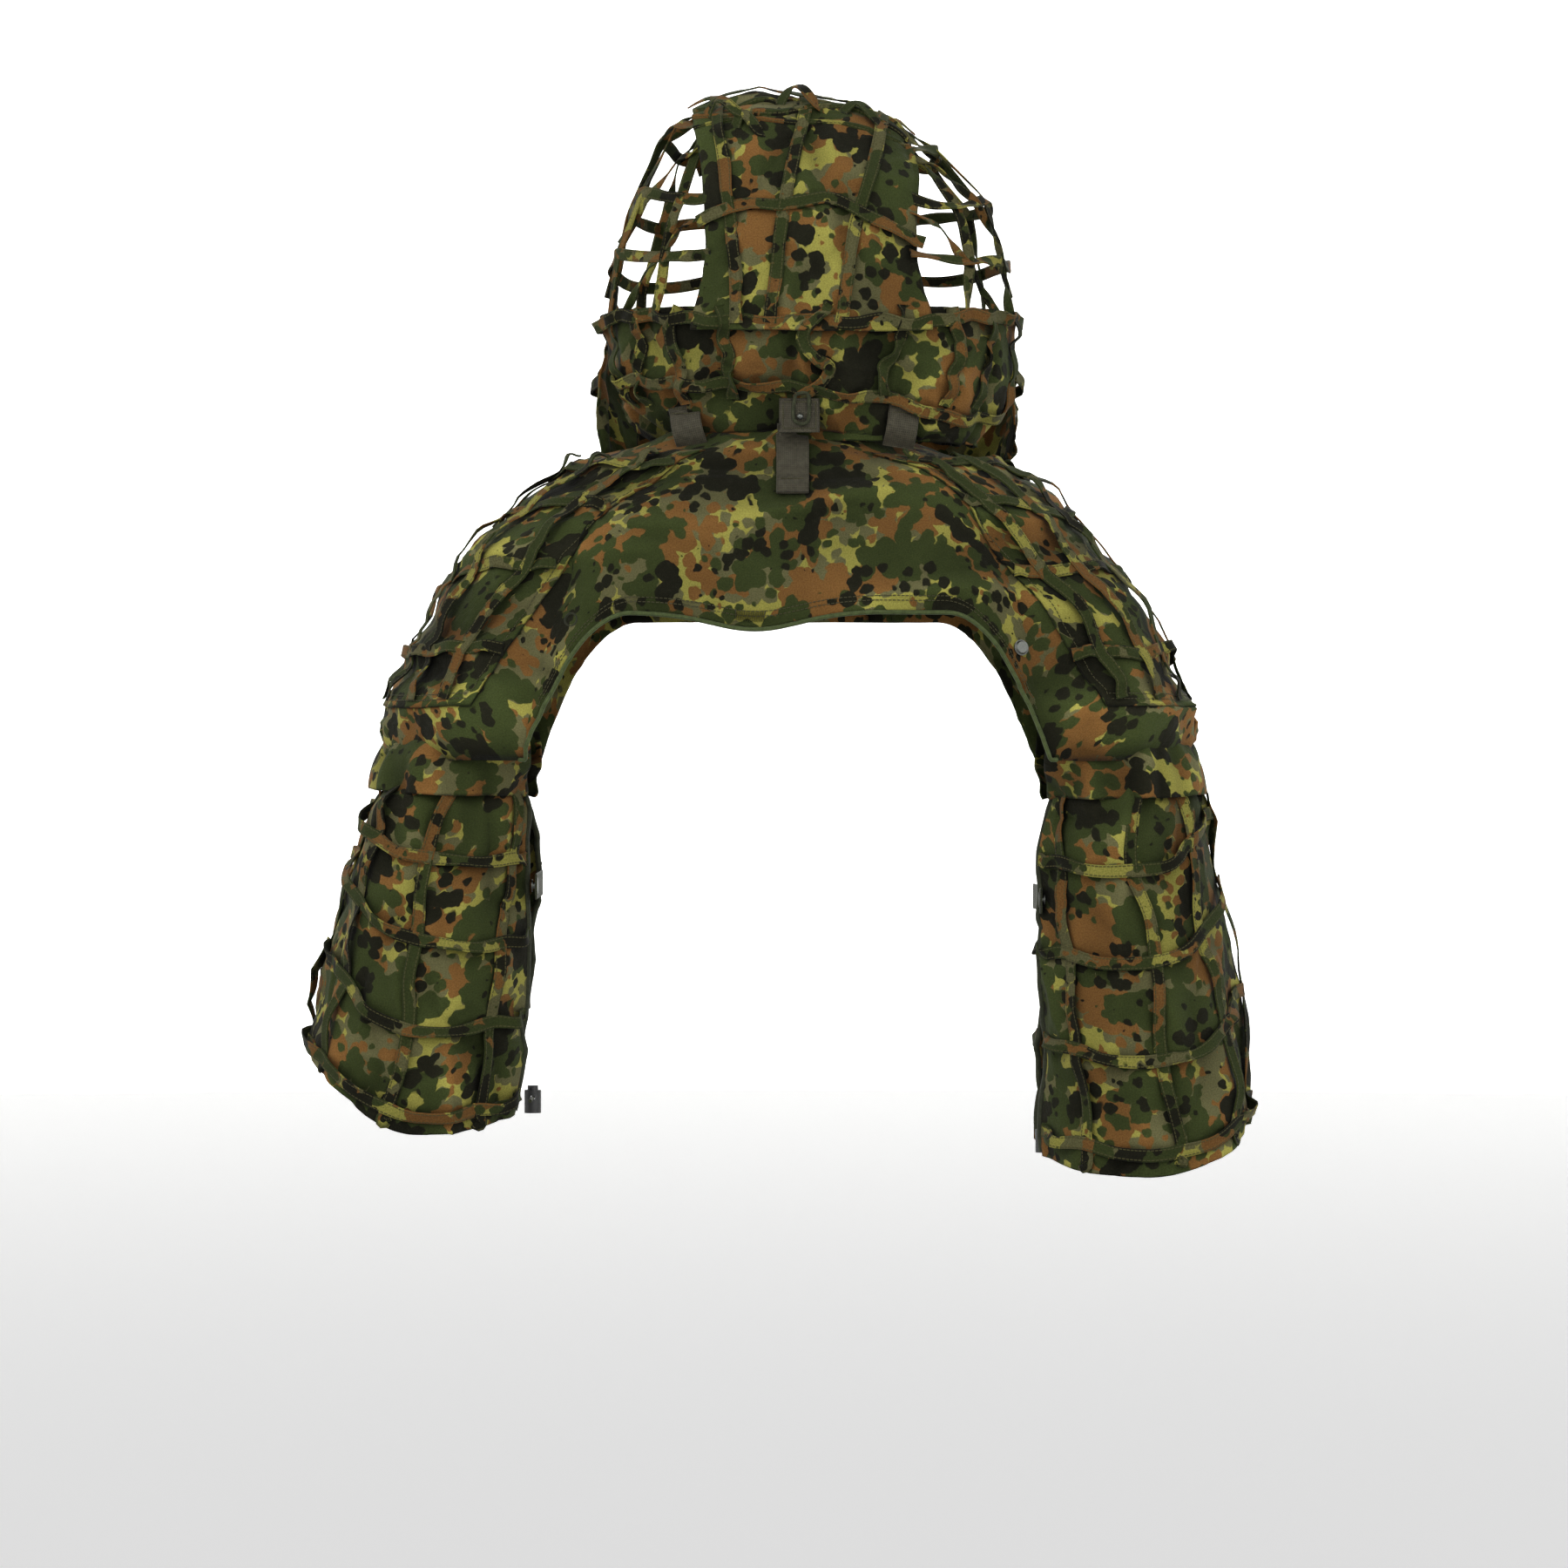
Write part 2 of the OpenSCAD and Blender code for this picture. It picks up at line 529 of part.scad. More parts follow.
// elastic hem cord across the sleeve's inner opening, and the cord lock on it
cord_run = 0.965;
function cord_x(side) = edge_pt(side, cord_run)[0] - side * 1.2;
function cord_z(side) = edge_pt(side, cord_run)[2];
cord_reach = abs(edge_pt(LEFT, cord_run)[1]) - 0.3;
lock_r = 6.5;           // outer radius of the lock's barrel
plunger_r = 4.2;        // radius of its plunger
plunger_top = 5;        // how far the plunger stands above the cord
cord_free = 0.6;        // free space round the cord in the plunger's slot
module hem_cord(side) {
    elastic() translate([cord_x(side), 0, cord_z(side)])
        rotate([90, 0, 0]) cylinder(d = cord_d, h = 2 * cord_reach, center = true);
}
module lock_body(side) {
    moulded() translate([cord_x(side), 0, cord_z(side)])
        difference() {
            translate([0, 0, -lock_l / 2 - 3]) cylinder(r = lock_r, h = lock_l);
            translate([0, 0, -lock_l / 2 - 1]) cylinder(r = plunger_r + 0.25, h = lock_l);
            rotate([90, 0, 0]) cylinder(d = cord_d + 0.8, h = 3 * lock_r, center = true);
        }
}
module lock_plunger(side) {
    moulded() translate([cord_x(side), 0, cord_z(side)])
        difference() {
            translate([0, 0, -cord_d / 2 - 3]) cylinder(r = plunger_r, h = lock_l / 2 + plunger_top);
            hull()
                for (z = [0, press_travel + cord_free])
                    translate([0, 0, z])
                        rotate([90, 0, 0]) cylinder(d = cord_d + cord_free, h = 3 * lock_r, center = true);
        }
}
module lock_spring(side) {
    low = -lock_l / 2 - 0.7;
    high = -cord_d / 2 - 3.3;
    steel() translate([cord_x(side), 0, cord_z(side) + low])
        difference() {
            cylinder(r = plunger_r - 0.6, h = high - low);
            translate([0, 0, -1]) cylinder(r = plunger_r - 1.8, h = high - low + 2);
        }
}

back_yoke();
front_panel_left();
front_panel_right();
yoke_binding();
neck_mesh();
shoulder_patch(LEFT);  // shoulder_patch_left
shoulder_patch(RIGHT);  // shoulder_patch_right
shoulder_tapes_over(LEFT);  // shoulder_tapes_over_left
shoulder_tapes_over(RIGHT);  // shoulder_tapes_over_right
shoulder_tapes_down(LEFT);  // shoulder_tapes_down_left
shoulder_tapes_down(RIGHT);  // shoulder_tapes_down_right
centre_strap();
front_studs();
underarm_stud(RIGHT);  // underarm_stud_right
thread_loop_left();
front_flap();
flap_stud_caps();
hood_panel();
hood_skirt();
front_drape();
brim_binding();
hood_tapes_down();
hood_tapes_across();
net_hoops(LEFT);  // net_hoops_left
net_hoops(RIGHT);  // net_hoops_right
net_rows(LEFT);  // net_rows_left
net_rows(RIGHT);  // net_rows_right
nape_patch();
nape_loop();
nape_bead();
crown_loops();
webbing_loops();
armhole_gather(LEFT);  // armhole_gather_left
armhole_gather(RIGHT);  // armhole_gather_right
sleeve(LEFT);  // sleeve_left
sleeve(RIGHT);  // sleeve_right
sleeve_hem(LEFT);  // sleeve_hem_left
sleeve_hem(RIGHT);  // sleeve_hem_right
sleeve_tapes_down(LEFT);  // sleeve_tapes_down_left
sleeve_tapes_down(RIGHT);  // sleeve_tapes_down_right
sleeve_tapes_across(LEFT);  // sleeve_tapes_across_left
sleeve_tapes_across(RIGHT);  // sleeve_tapes_across_right
sleeve_edges(LEFT);  // sleeve_edges_left
sleeve_edges(RIGHT);  // sleeve_edges_right
strap_stud(LEFT);  // strap_stud_left
strap_stud(RIGHT);  // strap_stud_right
inner_strap(LEFT);  // inner_strap_left
inner_strap(RIGHT);  // inner_strap_right
strap_cap(LEFT);  // strap_cap_left
strap_cap(RIGHT);  // strap_cap_right
hem_cord(LEFT);  // hem_cord_left
hem_cord(RIGHT);  // hem_cord_right
lock_body(LEFT);  // lock_body_left
lock_body(RIGHT);  // lock_body_right
lock_plunger(LEFT);  // lock_plunger_left
lock_plunger(RIGHT);  // lock_plunger_right
lock_spring(LEFT);  // lock_spring_left
lock_spring(RIGHT);  // lock_spring_right
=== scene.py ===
import json
import math

import bpy
import numpy as np
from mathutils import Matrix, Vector


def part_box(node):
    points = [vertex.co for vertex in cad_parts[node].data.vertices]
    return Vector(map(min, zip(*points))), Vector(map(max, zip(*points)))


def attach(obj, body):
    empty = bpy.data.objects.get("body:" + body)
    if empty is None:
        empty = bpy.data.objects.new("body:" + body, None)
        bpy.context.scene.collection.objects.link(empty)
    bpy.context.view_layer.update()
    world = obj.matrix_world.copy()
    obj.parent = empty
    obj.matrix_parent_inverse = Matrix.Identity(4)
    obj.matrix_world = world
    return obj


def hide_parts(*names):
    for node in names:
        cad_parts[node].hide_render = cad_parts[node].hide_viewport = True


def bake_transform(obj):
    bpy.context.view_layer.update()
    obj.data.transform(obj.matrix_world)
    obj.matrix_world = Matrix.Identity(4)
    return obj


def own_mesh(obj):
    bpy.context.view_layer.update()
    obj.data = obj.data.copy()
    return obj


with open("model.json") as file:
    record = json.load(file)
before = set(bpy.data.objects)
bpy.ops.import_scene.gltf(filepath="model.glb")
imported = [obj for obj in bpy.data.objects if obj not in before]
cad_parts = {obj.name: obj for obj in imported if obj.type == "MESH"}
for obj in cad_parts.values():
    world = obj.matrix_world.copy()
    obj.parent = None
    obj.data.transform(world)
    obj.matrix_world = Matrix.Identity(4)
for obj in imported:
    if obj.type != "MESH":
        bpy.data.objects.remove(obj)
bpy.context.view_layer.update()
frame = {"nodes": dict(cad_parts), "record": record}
scene = bpy.context.scene
mm = 0.001
print("frame loaded")

cosd = lambda a: np.cos(np.radians(a))
sind = lambda a: np.sin(np.radians(a))


def grid(a, b, n):
    return np.linspace(a, b, n)


def mix(a, b, t):
    return a + (b - a) * t


def ease(t):  # smooth step, 3t^2 - 2t^3
    t = np.clip(t, 0, 1)
    return t * t * (3 - 2 * t)


def signedPower(x, p):
    return np.sign(x) * np.abs(x) ** p


def unit(v):
    return v / np.maximum(np.linalg.norm(v, axis=-1, keepdims=True), 1e-9)


lattice = np.random.default_rng(11).random((32, 32, 32))


def softNoise(p, size):  # value noise from -1 to 1: eased mix of the eight random corners of cells of that size
    q = np.asarray(p, float) / size + 500
    cell = np.floor(q).astype(int)
    f = q - cell
    f = f * f * (3 - 2 * f)
    total = 0
    for k in range(8):
        corner = np.array([k & 1, k >> 1 & 1, k >> 2 & 1])
        weight = np.prod(np.where(corner == 1, f, 1 - f), axis=-1)
        i = (cell + corner) % 32
        total = total + weight * lattice[i[..., 0], i[..., 1], i[..., 2]]
    return 2 * total - 1


def creases(p, size, seed, stretch=(1, 1, 1)):  # sharp-crested ridges where warped noise passes zero, 0 to 1
    q = np.asarray(p, float) * np.array(stretch) + seed * 0.37
    warped = q + size * 0.35 * np.stack([softNoise(q + k, size * 0.7) for k in (3.1, 5.3, 7.7)], -1)
    return (1 - np.abs(softNoise(warped, size))) ** 3


cape = dict(halfWidth=0.312, halfDepth=0.132, armholeDrop=0.245, backDrop=0.133, archHalf=0.120, armpitHalf=0.200,
            neckHalf=0.110, neckDepth=0.085, cloth=1.4 * mm, dip=0.013, dipAt=-0.025, dipWidth=0.048)
hood = dict(lean=0.017, ahead=0.005, halfWidth=0.168, halfDepth=0.130, height=0.272, panelHalf=0.083,
            skirtTop=0.100, brimTurn=122, square=2.6, flare=0.7)
sleeve = dict(topHalf=0.059, hemHalf=0.080, topDepth=0.092, hemDepth=0.104, openTurn=156, gap=0.006,
              length={-1: 0.280, 1: 0.312}, rise={-1: 0.062, 1: 0.034}, spread={-1: 0.028, 1: 0.018})
tapeSize = dict(width=10.5 * mm, thick=1.3 * mm)
sideName = {-1: "left", 1: "right"}


# each surface is a function of (turn, run) that gives points; the outward side is cross(d run, d turn)
def capeSurface(a, s):  # quadratic curve from the neck ring over a shoulder corner to the hem, for each plan turn
    c, d = cosd(a), sind(a)
    hemX = cape["halfWidth"] * signedPower(c, 2 / 3)
    hemY = cape["halfDepth"] * signedPower(d, 2 / 3)
    fall = np.clip((np.abs(hemX) - cape["archHalf"]) / (cape["armpitHalf"] - cape["archHalf"]), 0, 1) ** 2
    dip = cape["dip"] * np.maximum(0, -d) * np.exp(-((hemX - cape["dipAt"]) / cape["dipWidth"]) ** 2)
    hem = np.stack([hemX, hemY, -mix(cape["backDrop"], cape["armholeDrop"], fall) - dip], -1)
    neck = np.stack([cape["neckHalf"] * c, 0.002 + cape["neckDepth"] * d, 0.005 - 0.022 * (1 + d) / 2], -1)
    knee = np.stack([0.86 * hemX, 0.97 * hemY, -0.030 - 0.015 * c * c], -1)
    s = np.asarray(s)[..., None]
    return (1 - s) ** 2 * neck + 2 * s * (1 - s) * knee + s * s * hem


def domePart(x, z):
    return 1 - (np.abs(x) / hood["halfWidth"]) ** hood["square"] - (np.abs(z) / hood["height"]) ** hood["square"]


def edgeTurn(x, z):
    return np.degrees(np.arctan2(z, hood["halfDepth"] * np.maximum(0.001, domePart(x, z)) ** (1 / hood["square"])))


def domePoint(t, x):  # rounded box dome: x is the offset sideways, t the turn over the crown from the nape
    n = hood["square"]
    reach = (np.maximum(0.001, 1 - (np.abs(x) / hood["halfWidth"]) ** n)
             / ((np.abs(cosd(t)) / hood["halfDepth"]) ** n + (np.abs(sind(t)) / hood["height"]) ** n)) ** (1 / n)
    return np.stack([hood["lean"] + x, hood["ahead"] - reach * cosd(t), reach * sind(t)], -1)


def crownSurface(v, x):  # v 0 at the skirt's seam, 100 at the brim
    return domePoint(mix(edgeTurn(x, hood["skirtTop"] + 0.6 * mm), hood["brimTurn"], v / 100), x)


def domePlan(a, z, halfX, halfY):  # level section of the dome at height z
    n = hood["square"]
    e = (1 - (np.maximum(z, 0) / hood["height"]) ** n) ** (1 / n)
    return np.stack([hood["lean"] + halfX * e * signedPower(cosd(a), 2 / n),
                     hood["ahead"] + halfY * e * signedPower(sind(a), 2 / n), z + 0 * a], -1)


def domeSide(a, s):  # the dome by plan turn, run 0 at the crown and 1 at the neck line
    return domePlan(a, hood["height"] * (1 - s), hood["halfWidth"], hood["halfDepth"])


def skirtSurface(a, s):  # run 0 at its upper seam, 1 at the neck
    up = 1 - s
    q = np.maximum(0, up) ** hood["flare"]
    return domePlan(a, mix(0.009, hood["skirtTop"], up), mix(0.118, hood["halfWidth"], q),
                    mix(0.091, hood["halfDepth"], q))


def drapeSurface(a, s):  # the front drape, run 0 at its top edge
    top = mix(0.128, 0.062, ease(sind(a) * 1.15))
    low = mix(-0.008, -0.025, ease(sind(a)))
    up = 1 - s
    return domePlan(a, mix(low, top, up), mix(0.153, hood["halfWidth"], up), mix(0.140, hood["halfDepth"], up))


def sleeveSurface(side):  # turn 0 faces away from the body, run 0 at the armhole, 1 at the hem
    def surface(a, s):
        b = a + (180 if side < 0 else 0)
        grow = sind(90 * np.minimum(1, s))
        wide = mix(sleeve["topHalf"], sleeve["hemHalf"], grow)
        deep = mix(sleeve["topDepth"], sleeve["hemDepth"], grow)
        middle = side * mix(cape["halfWidth"] - sleeve["topHalf"] + 0.007,
                            cape["halfWidth"] - 0.036 + sleeve["spread"][side] - 0.018, s)
        drop = (sleeve["length"][side] - sleeve["rise"][side] * np.maximum(0, cosd(a)) ** 1.5
                - 0.016 * np.maximum(0, -cosd(a)) ** 2)
        return np.stack([middle + wide * signedPower(cosd(b), 0.8), deep * signedPower(sind(b), 0.8),
                         -cape["armholeDrop"] - sleeve["gap"] - s * drop + 0 * a], -1)
    return surface


def patchSurface(side):  # over a shoulder: v from the back (-100) to the front (100), run from the neck outward
    def surface(v, u):
        turn = (180 if side < 0 else 0) + v / 100 * mix(78, 50, u)
        return capeSurface(turn, mix(0.17, 0.9, u))
    return surface


def outward(surface, a, s):  # unit normal from small steps either side
    da = surface(a + 0.7, s) - surface(a - 0.7, s)
    ds = surface(a, s + 0.008) - surface(a, s - 0.008)
    return unit(np.cross(ds, da))


def clothPoint(surface, folds, a, s, lift=0.0):  # a point on the folded cloth, and its outward direction
    a, s = np.broadcast_arrays(np.asarray(a, float), np.asarray(s, float))
    base = surface(a, s)
    n = outward(surface, a, s)
    return base + n * (folds(base) + lift)[..., None], n


# folds are heights in metres above the plain surface, as functions of the point only, so that what is sewn on follows
def capeFolds(p):
    x, y, z = p[..., 0], p[..., 1], p[..., 2]
    out = ease((np.abs(x) - 0.19) / 0.03)
    drag = creases(p, 0.085, 1, (0.45, 0.6, 1.5)) * 8.0 * mm - creases(p, 0.05, 21, (0.5, 0.8, 1.4)) * 4.0 * mm
    fine = creases(p, 0.030, 2, (0.8, 0.8, 1.3)) * 2.4 * mm
    gather = ease((-z - 0.150) / 0.08) * ease((np.abs(x) - 0.17) / 0.03) * 4.0 * mm * softNoise(
        p * np.array([1, 1, 0.25]), 0.019)
    cap = out * (9.0 * mm * np.sin(np.pi * np.clip((-z - 0.180) / 0.062, 0,
        1)) - 6.0 * mm * ease((-z - 0.232) / 0.013))
    fold = 3.0 * mm * np.exp(-((z + 0.013 + 0.02 * softNoise(p, 0.09)) / 0.006) ** 2) * (y < 0)
    sway = softNoise(p, 0.09) * 3.0 * mm + 1.0 * mm
    return drag + fine + gather + cap + fold + sway - 2.0 * mm


def crownTilt(p):
    return -0.11 * (p[..., 0] - 0.005) * ease((p[..., 2] - 0.19) / 0.06)


def hoodFolds(p):
    low = ease((0.095 - p[..., 2]) / 0.07)
    big = creases(p, 0.060, 4, (1.1, 1.1, 0.55)) * (4.5 + 6.0 * low) * mm
    slant = creases(p @ np.array([[1, 0, 0.5], [0, 1, 0], [-0.5, 0, 1]]), 0.040, 6, (1, 1, 0.6)) * low * 5.0 * mm
    fine = creases(p, 0.024, 5) * 2.2 * mm
    pleats = low * 4.5 * mm * softNoise(p * np.array([1, 1, 0.3]), 0.016)
    dents = -5 * mm * creases(p, 0.055, 13, (1.2, 1.2, 0.5))
    return big + slant + fine + pleats + crownTilt(p) + dents + softNoise(p, 0.07) * 4 * mm - 1 * mm


def sleeveFolds(p):
    top = ease((p[..., 2] + 0.33) / 0.075)
    tuck = -9.0 * mm * ease((p[..., 2] + 0.285) / 0.030)
    hang = creases(p, 0.085, 7, (1.3, 1.3, 0.4)) * 7.0 * mm - creases(p, 0.05, 17, (1.2, 1.2, 0.6)) * 5.0 * mm
    slant = creases(p @ np.array([[1, 0, 0.6], [0, 1, 0.4], [-0.6, -0.4, 1]]), 0.06, 9, (1, 1, 0.6)) * 3.5 * mm
    fine = creases(p, 0.030, 8, (1, 1, 0.7)) * 2.0 * mm
    pleats = top * 4.0 * mm * softNoise(p * np.array([1, 1, 0.2]), 0.015)
    return tuck + hang + slant + fine + pleats + softNoise(p, 0.08) * 3.2 * mm - 3 * mm


def newObject(name, points, faces, material, uv=None, floats=None):
    mesh = bpy.data.meshes.new(name)
    mesh.from_pydata(np.asarray(points, float).reshape(-1, 3), [], faces)
    if uv is not None:
        loops = np.empty(len(mesh.loops), np.int32)
        mesh.loops.foreach_get("vertex_index", loops)
        mesh.uv_layers.new(name="flat").data.foreach_set("uv", np.asarray(uv, np.float32)[loops].ravel())
    for key, value in (floats or {}).items():
        mesh.attributes.new(key, "FLOAT", "POINT").data.foreach_set("value", np.asarray(value, np.float32).ravel())
    mesh.polygons.foreach_set("use_smooth", np.full(len(mesh.polygons), True))
    mesh.materials.append(material)
    mesh.update()
    piece = bpy.data.objects.new(name, mesh)
    scene.collection.objects.link(piece)
    return piece


def gridFaces(rows, cols, start=0, flip=False, wrap=False):  # quads between neighbouring rows and columns
    i, j = np.meshgrid(np.arange(rows - 1), np.arange(cols if wrap else cols - 1), indexing="ij")
    i, j = i.ravel(), j.ravel()
    k = (j + 1) % cols
    quads = np.stack([i * cols + j, (i + 1) * cols + j, (i + 1) * cols + k, i * cols + k], -1) + start
    return quads[:, ::-1] if flip else quads


def runLengths(p, axis, start=0.5):  # metres along a grid's rows or columns, from that share of the way
    step = np.linalg.norm(np.diff(p, axis=axis), axis=-1)
    total = np.concatenate([np.zeros_like(np.take(step, [0], axis)), np.cumsum(step, axis)], axis)
    return total - np.take(total, [int(start * (total.shape[axis] - 1))], axis)


def clothPiece(name, surface, folds, turns, runs, material, lift=0.0, thick=None, shift=(0, 0), edge=0.006,
        grain=0.5):
    # A doubled cloth panel: the folded surface and a copy one thickness inside it, closed round a rounded edge.
    thick = thick or cape["cloth"]
    a, s = np.meshgrid(turns, runs)
    outer, _ = clothPoint(surface, folds, a, s, lift + thick)
    base = surface(a, s)
    n = unit(np.cross(np.gradient(outer, axis=0), np.gradient(outer, axis=1)))
    inner = outer - n * thick
    rows, cols = a.shape
    u = runLengths(base, 1, grain) + shift[0]
    v = runLengths(base, 0) + shift[1]
    count = rows * cols
    rim = np.concatenate([np.arange(cols), np.arange(1, rows) * cols + cols - 1,
                          (rows - 1) * cols + np.arange(cols - 2, -1, -1), np.arange(rows - 2, 0, -1) * cols])
    ahead = np.roll(rim, -1)
    middle = (outer.reshape(-1, 3)[rim] + inner.reshape(-1, 3)[rim]) / 2
    mid = unit(np.cross(n.reshape(-1, 3)[rim], unit(np.roll(middle, -1, 0) - np.roll(middle, 1, 0))))
    bulge = middle - mid * thick * 0.4
    m = np.arange(len(rim)) + 2 * count
    mNext = np.roll(m, -1)
    faces = np.concatenate([gridFaces(rows, cols), gridFaces(rows, cols, count, True),
                            np.stack([rim, ahead, mNext, m], -1), np.stack([m, mNext, ahead + count, rim + count],
                                -1)])
    # the fold height, kept as the relief attribute that paints light on crests and shade in hollows
    height = folds(base)
    height = (height - height.mean()) / (height.std() + 1e-9)
    fromEdge = np.minimum.reduce([u - u.min(1, keepdims=True), u.max(1, keepdims=True) - u,
                                  v - v.min(0, keepdims=True), v.max(0, keepdims=True) - v])
    wear = np.clip(1 - fromEdge / edge, 0, 1)
    uv = np.stack([u, v], -1).reshape(-1, 2)
    relief = height.ravel()
    wear = wear.ravel()
    piece = newObject(name, np.concatenate([outer.reshape(-1, 3), inner.reshape(-1, 3), bulge]), faces.tolist(),
        material,
                      np.concatenate([uv, uv, uv[rim]]),
                      {"relief": np.concatenate([relief, -relief, relief[rim]]),
                       "wear": np.concatenate([wear, wear, wear[rim] * 0.5])})
    middleGrid = (outer + inner) / 2
    piece["flatW"] = float(np.linalg.norm(np.diff(middleGrid, axis=1), axis=-1).sum(1).max())
    piece["flatL"] = float(np.linalg.norm(np.diff(middleGrid, axis=0), axis=-1).sum(0).max())
    quad = np.cross(np.diff(middleGrid, axis=0)[:, :-1], np.diff(middleGrid, axis=1)[:-1])
    piece["flatArea"] = float(np.linalg.norm(quad, axis=-1).sum())
    return piece


tapeProfile = np.array([(-1, 0.5), (-0.95, 0.9), (-0.78, 1.05), (-0.4, 0.98), (0, 0.95), (0.4, 0.98), (0.78, 1.05),
    (0.95, 0.9),
                        (1, 0.5), (0.95, 0.1), (0.5, 0), (-0.5, 0), (-0.95, 0.1)])


def smoothPath(nodes, perSpan):  # points on a spline that passes through every node, perSpan steps between neighbours
    nodes = np.asarray(nodes, float)
    padded = np.concatenate([[2 * nodes[0] - nodes[1]], nodes, [2 * nodes[-1] - nodes[-2]]])
    t = (np.arange(perSpan) / perSpan)[None, :, None]
    p0, p1, p2, p3 = (padded[k:len(padded) - 3 + k][:, None] for k in range(4))
    square = 2 * p0 - 5 * p1 + 4 * p2 - p3
    cube = 3 * p1 - p0 - 3 * p2 + p3
    curve = 0.5 * (2 * p1 + (p2 - p0) * t + square * t ** 2 + cube * t ** 3)
    return np.concatenate([curve.reshape(-1, nodes.shape[1]), nodes[-1:]])


class Mass:
    # Collects tapes, stitches and the like into one mesh.

    def __init__(self):
        self.points, self.faces, self.uv, self.across, self.run, self.count = [], [], [], [], [], 0

    def ribbon(self, path, normals, width, thick, shift=(0, 0), sides=None, profile=tapeProfile):
        # The profile carried along the path: its x along the side direction, its y along the normal.
        tangent = unit(np.gradient(path, axis=0))
        side = unit(np.cross(tangent, normals)) if sides is None else sides
        up = unit(np.cross(side, tangent))
        width = np.broadcast_to(width, len(path))[:, None, None]
        ring = (path[:, None] + side[:, None] * profile[None, :, :1] * width / 2
                + up[:, None] * profile[None, :, 1:] * thick)
        rows, cols = ring.shape[:2]
        length = np.concatenate([[0], np.cumsum(np.linalg.norm(np.diff(path, axis=0), axis=-1))])
        across = np.broadcast_to(profile[:, 0], (rows, cols))
        u = np.broadcast_to(length[:, None], (rows, cols))
        uv = np.stack([u + shift[0], across * width[..., 0] / 2 + shift[1]], -1)
        body = [list(f) for f in gridFaces(rows, cols, 0, False, True)]
        caps = [list(range(cols))[::-1], [(rows - 1) * cols + k for k in range(cols)]]
        faces = body + caps
        self.points.append(ring.reshape(-1, 3))
        self.faces.extend([[k + self.count for k in f] for f in faces])
        self.uv.append(uv.reshape(-1, 2))
        self.across.append(across.ravel())
        self.run.append(u.ravel())
        self.count += rows * cols

    def build(self, name, material):
        return newObject(name, np.concatenate(self.points), self.faces, material, np.concatenate(self.uv),
                         {"across": np.concatenate(self.across), "run": np.concatenate(self.run)})


def linearColour(code, shade=1.0):  # sRGB hex to linear, times a shade
    c = [int(code[i:i + 2], 16) / 255 for i in (1, 3, 5)]
    return tuple(shade * (v / 12.92 if v <= 0.04045 else ((v + 0.055) / 1.055) ** 2.4) for v in c) + (1,)


def addNode(tree, kind, values=None, links=None, **settings):
    node = tree.nodes.new("ShaderNode" + kind)
    for key, value in settings.items():
        setattr(node, key, value)
    for key, value in (values or {}).items():
        node.inputs[key].default_value = value
    for key, socket in (links or {}).items():
        tree.links.new(socket, node.inputs[key])
    return node


def mapRange(tree, socket, source, target):  # remaps a value from one range to another, clamped
    return addNode(tree, "MapRange", links={"Value": socket}, values={
        "From Min": source[0], "From Max": source[1], "To Min": target[0], "To Max": target[1]}).outputs[0]


def mathNode(tree, operation, first, second=None):  # second is a socket, a number or nothing
    linked = {0: first}
    fixed = {}
    if isinstance(second, bpy.types.NodeSocket):
        linked[1] = second
    elif second is not None:
        fixed[1] = second
    return addNode(tree, "Math", values=fixed, links=linked, operation=operation).outputs[0]


def flatNoise(tree, coords, **values):  # noise on the cloth's own flat coordinates
    return addNode(tree, "TexNoise", values=values, links={"Vector": coords}, noise_dimensions="2D")


def newMaterial(name, **shader):
    material = bpy.data.materials.new(name)
    material.use_nodes = True
    tree = material.node_tree
    tree.nodes.clear()
    output = addNode(tree, "OutputMaterial")
    principled = addNode(tree, "BsdfPrincipled", values=shader)
    tree.links.new(principled.outputs[0], output.inputs["Surface"])
    return material, tree, principled


camoInks = dict(leaf="#7B7738", stone="#4F4D32", rust="#614422", forest="#2C3318", night="#16160D")


def camoPattern(tree, shade=1.0):
    # Spot print: each ink covers where broad noise plus round bumps of 13 mm spacing pass a level, so that blobs end
    # in dots.
    coords = addNode(tree, "UVMap", uv_map="flat").outputs[0]
    wobble = flatNoise(tree, coords, Scale=140.0, Detail=1.0)
    offset = addNode(tree, "VectorMath", values={1: (0.5, 0.5, 0.5)}, links={0: wobble.outputs["Color"]},
        operation="SUBTRACT")
    offset = addNode(tree, "VectorMath", values={"Scale": 0.0045}, links={0: offset.outputs[0]}, operation="SCALE")
    place = addNode(tree, "VectorMath", links={0: coords, 1: offset.outputs[0]}, operation="ADD").outputs[0]
    colour = None
    inks = [("stone", 0.048, 0.0140, 0.465, 3.1), ("rust", 0.044, 0.0135, 0.500, 7.7),
            ("forest", 0.052, 0.0140, 0.485, 12.3), ("night", 0.046, 0.0135, 0.590, 19.9)]
    for ink, broad, spot, level, seed in inks:
        moved = addNode(tree, "VectorMath", values={1: (seed, seed * 0.61, 0)}, links={0: place},
            operation="ADD").outputs[0]
        patch = flatNoise(tree, moved, Scale=1 / broad, Detail=1.5, Roughness=0.45)
        dots = addNode(tree, "TexVoronoi", values={"Scale": 1 / spot, "Randomness": 0.85}, links={"Vector": moved},
                       voronoi_dimensions="2D")
        bump = mapRange(tree, dots.outputs["Distance"], (0.0, 0.75), (0.13, -0.13))
        sumUp = mathNode(tree, "ADD", patch.outputs[0], bump)
        mask = mapRange(tree, sumUp, (level - 0.008, level + 0.008), (0.0, 1.0))
        mixer = addNode(tree, "Mix", links={0: mask}, data_type="RGBA")
        mixer.inputs[7].default_value = linearColour(camoInks[ink], shade)
        if colour is None:
            mixer.inputs[6].default_value = linearColour(camoInks["leaf"], shade)
        else:
            tree.links.new(colour, mixer.inputs[6])
        colour = mixer.outputs[2]
    return coords, colour


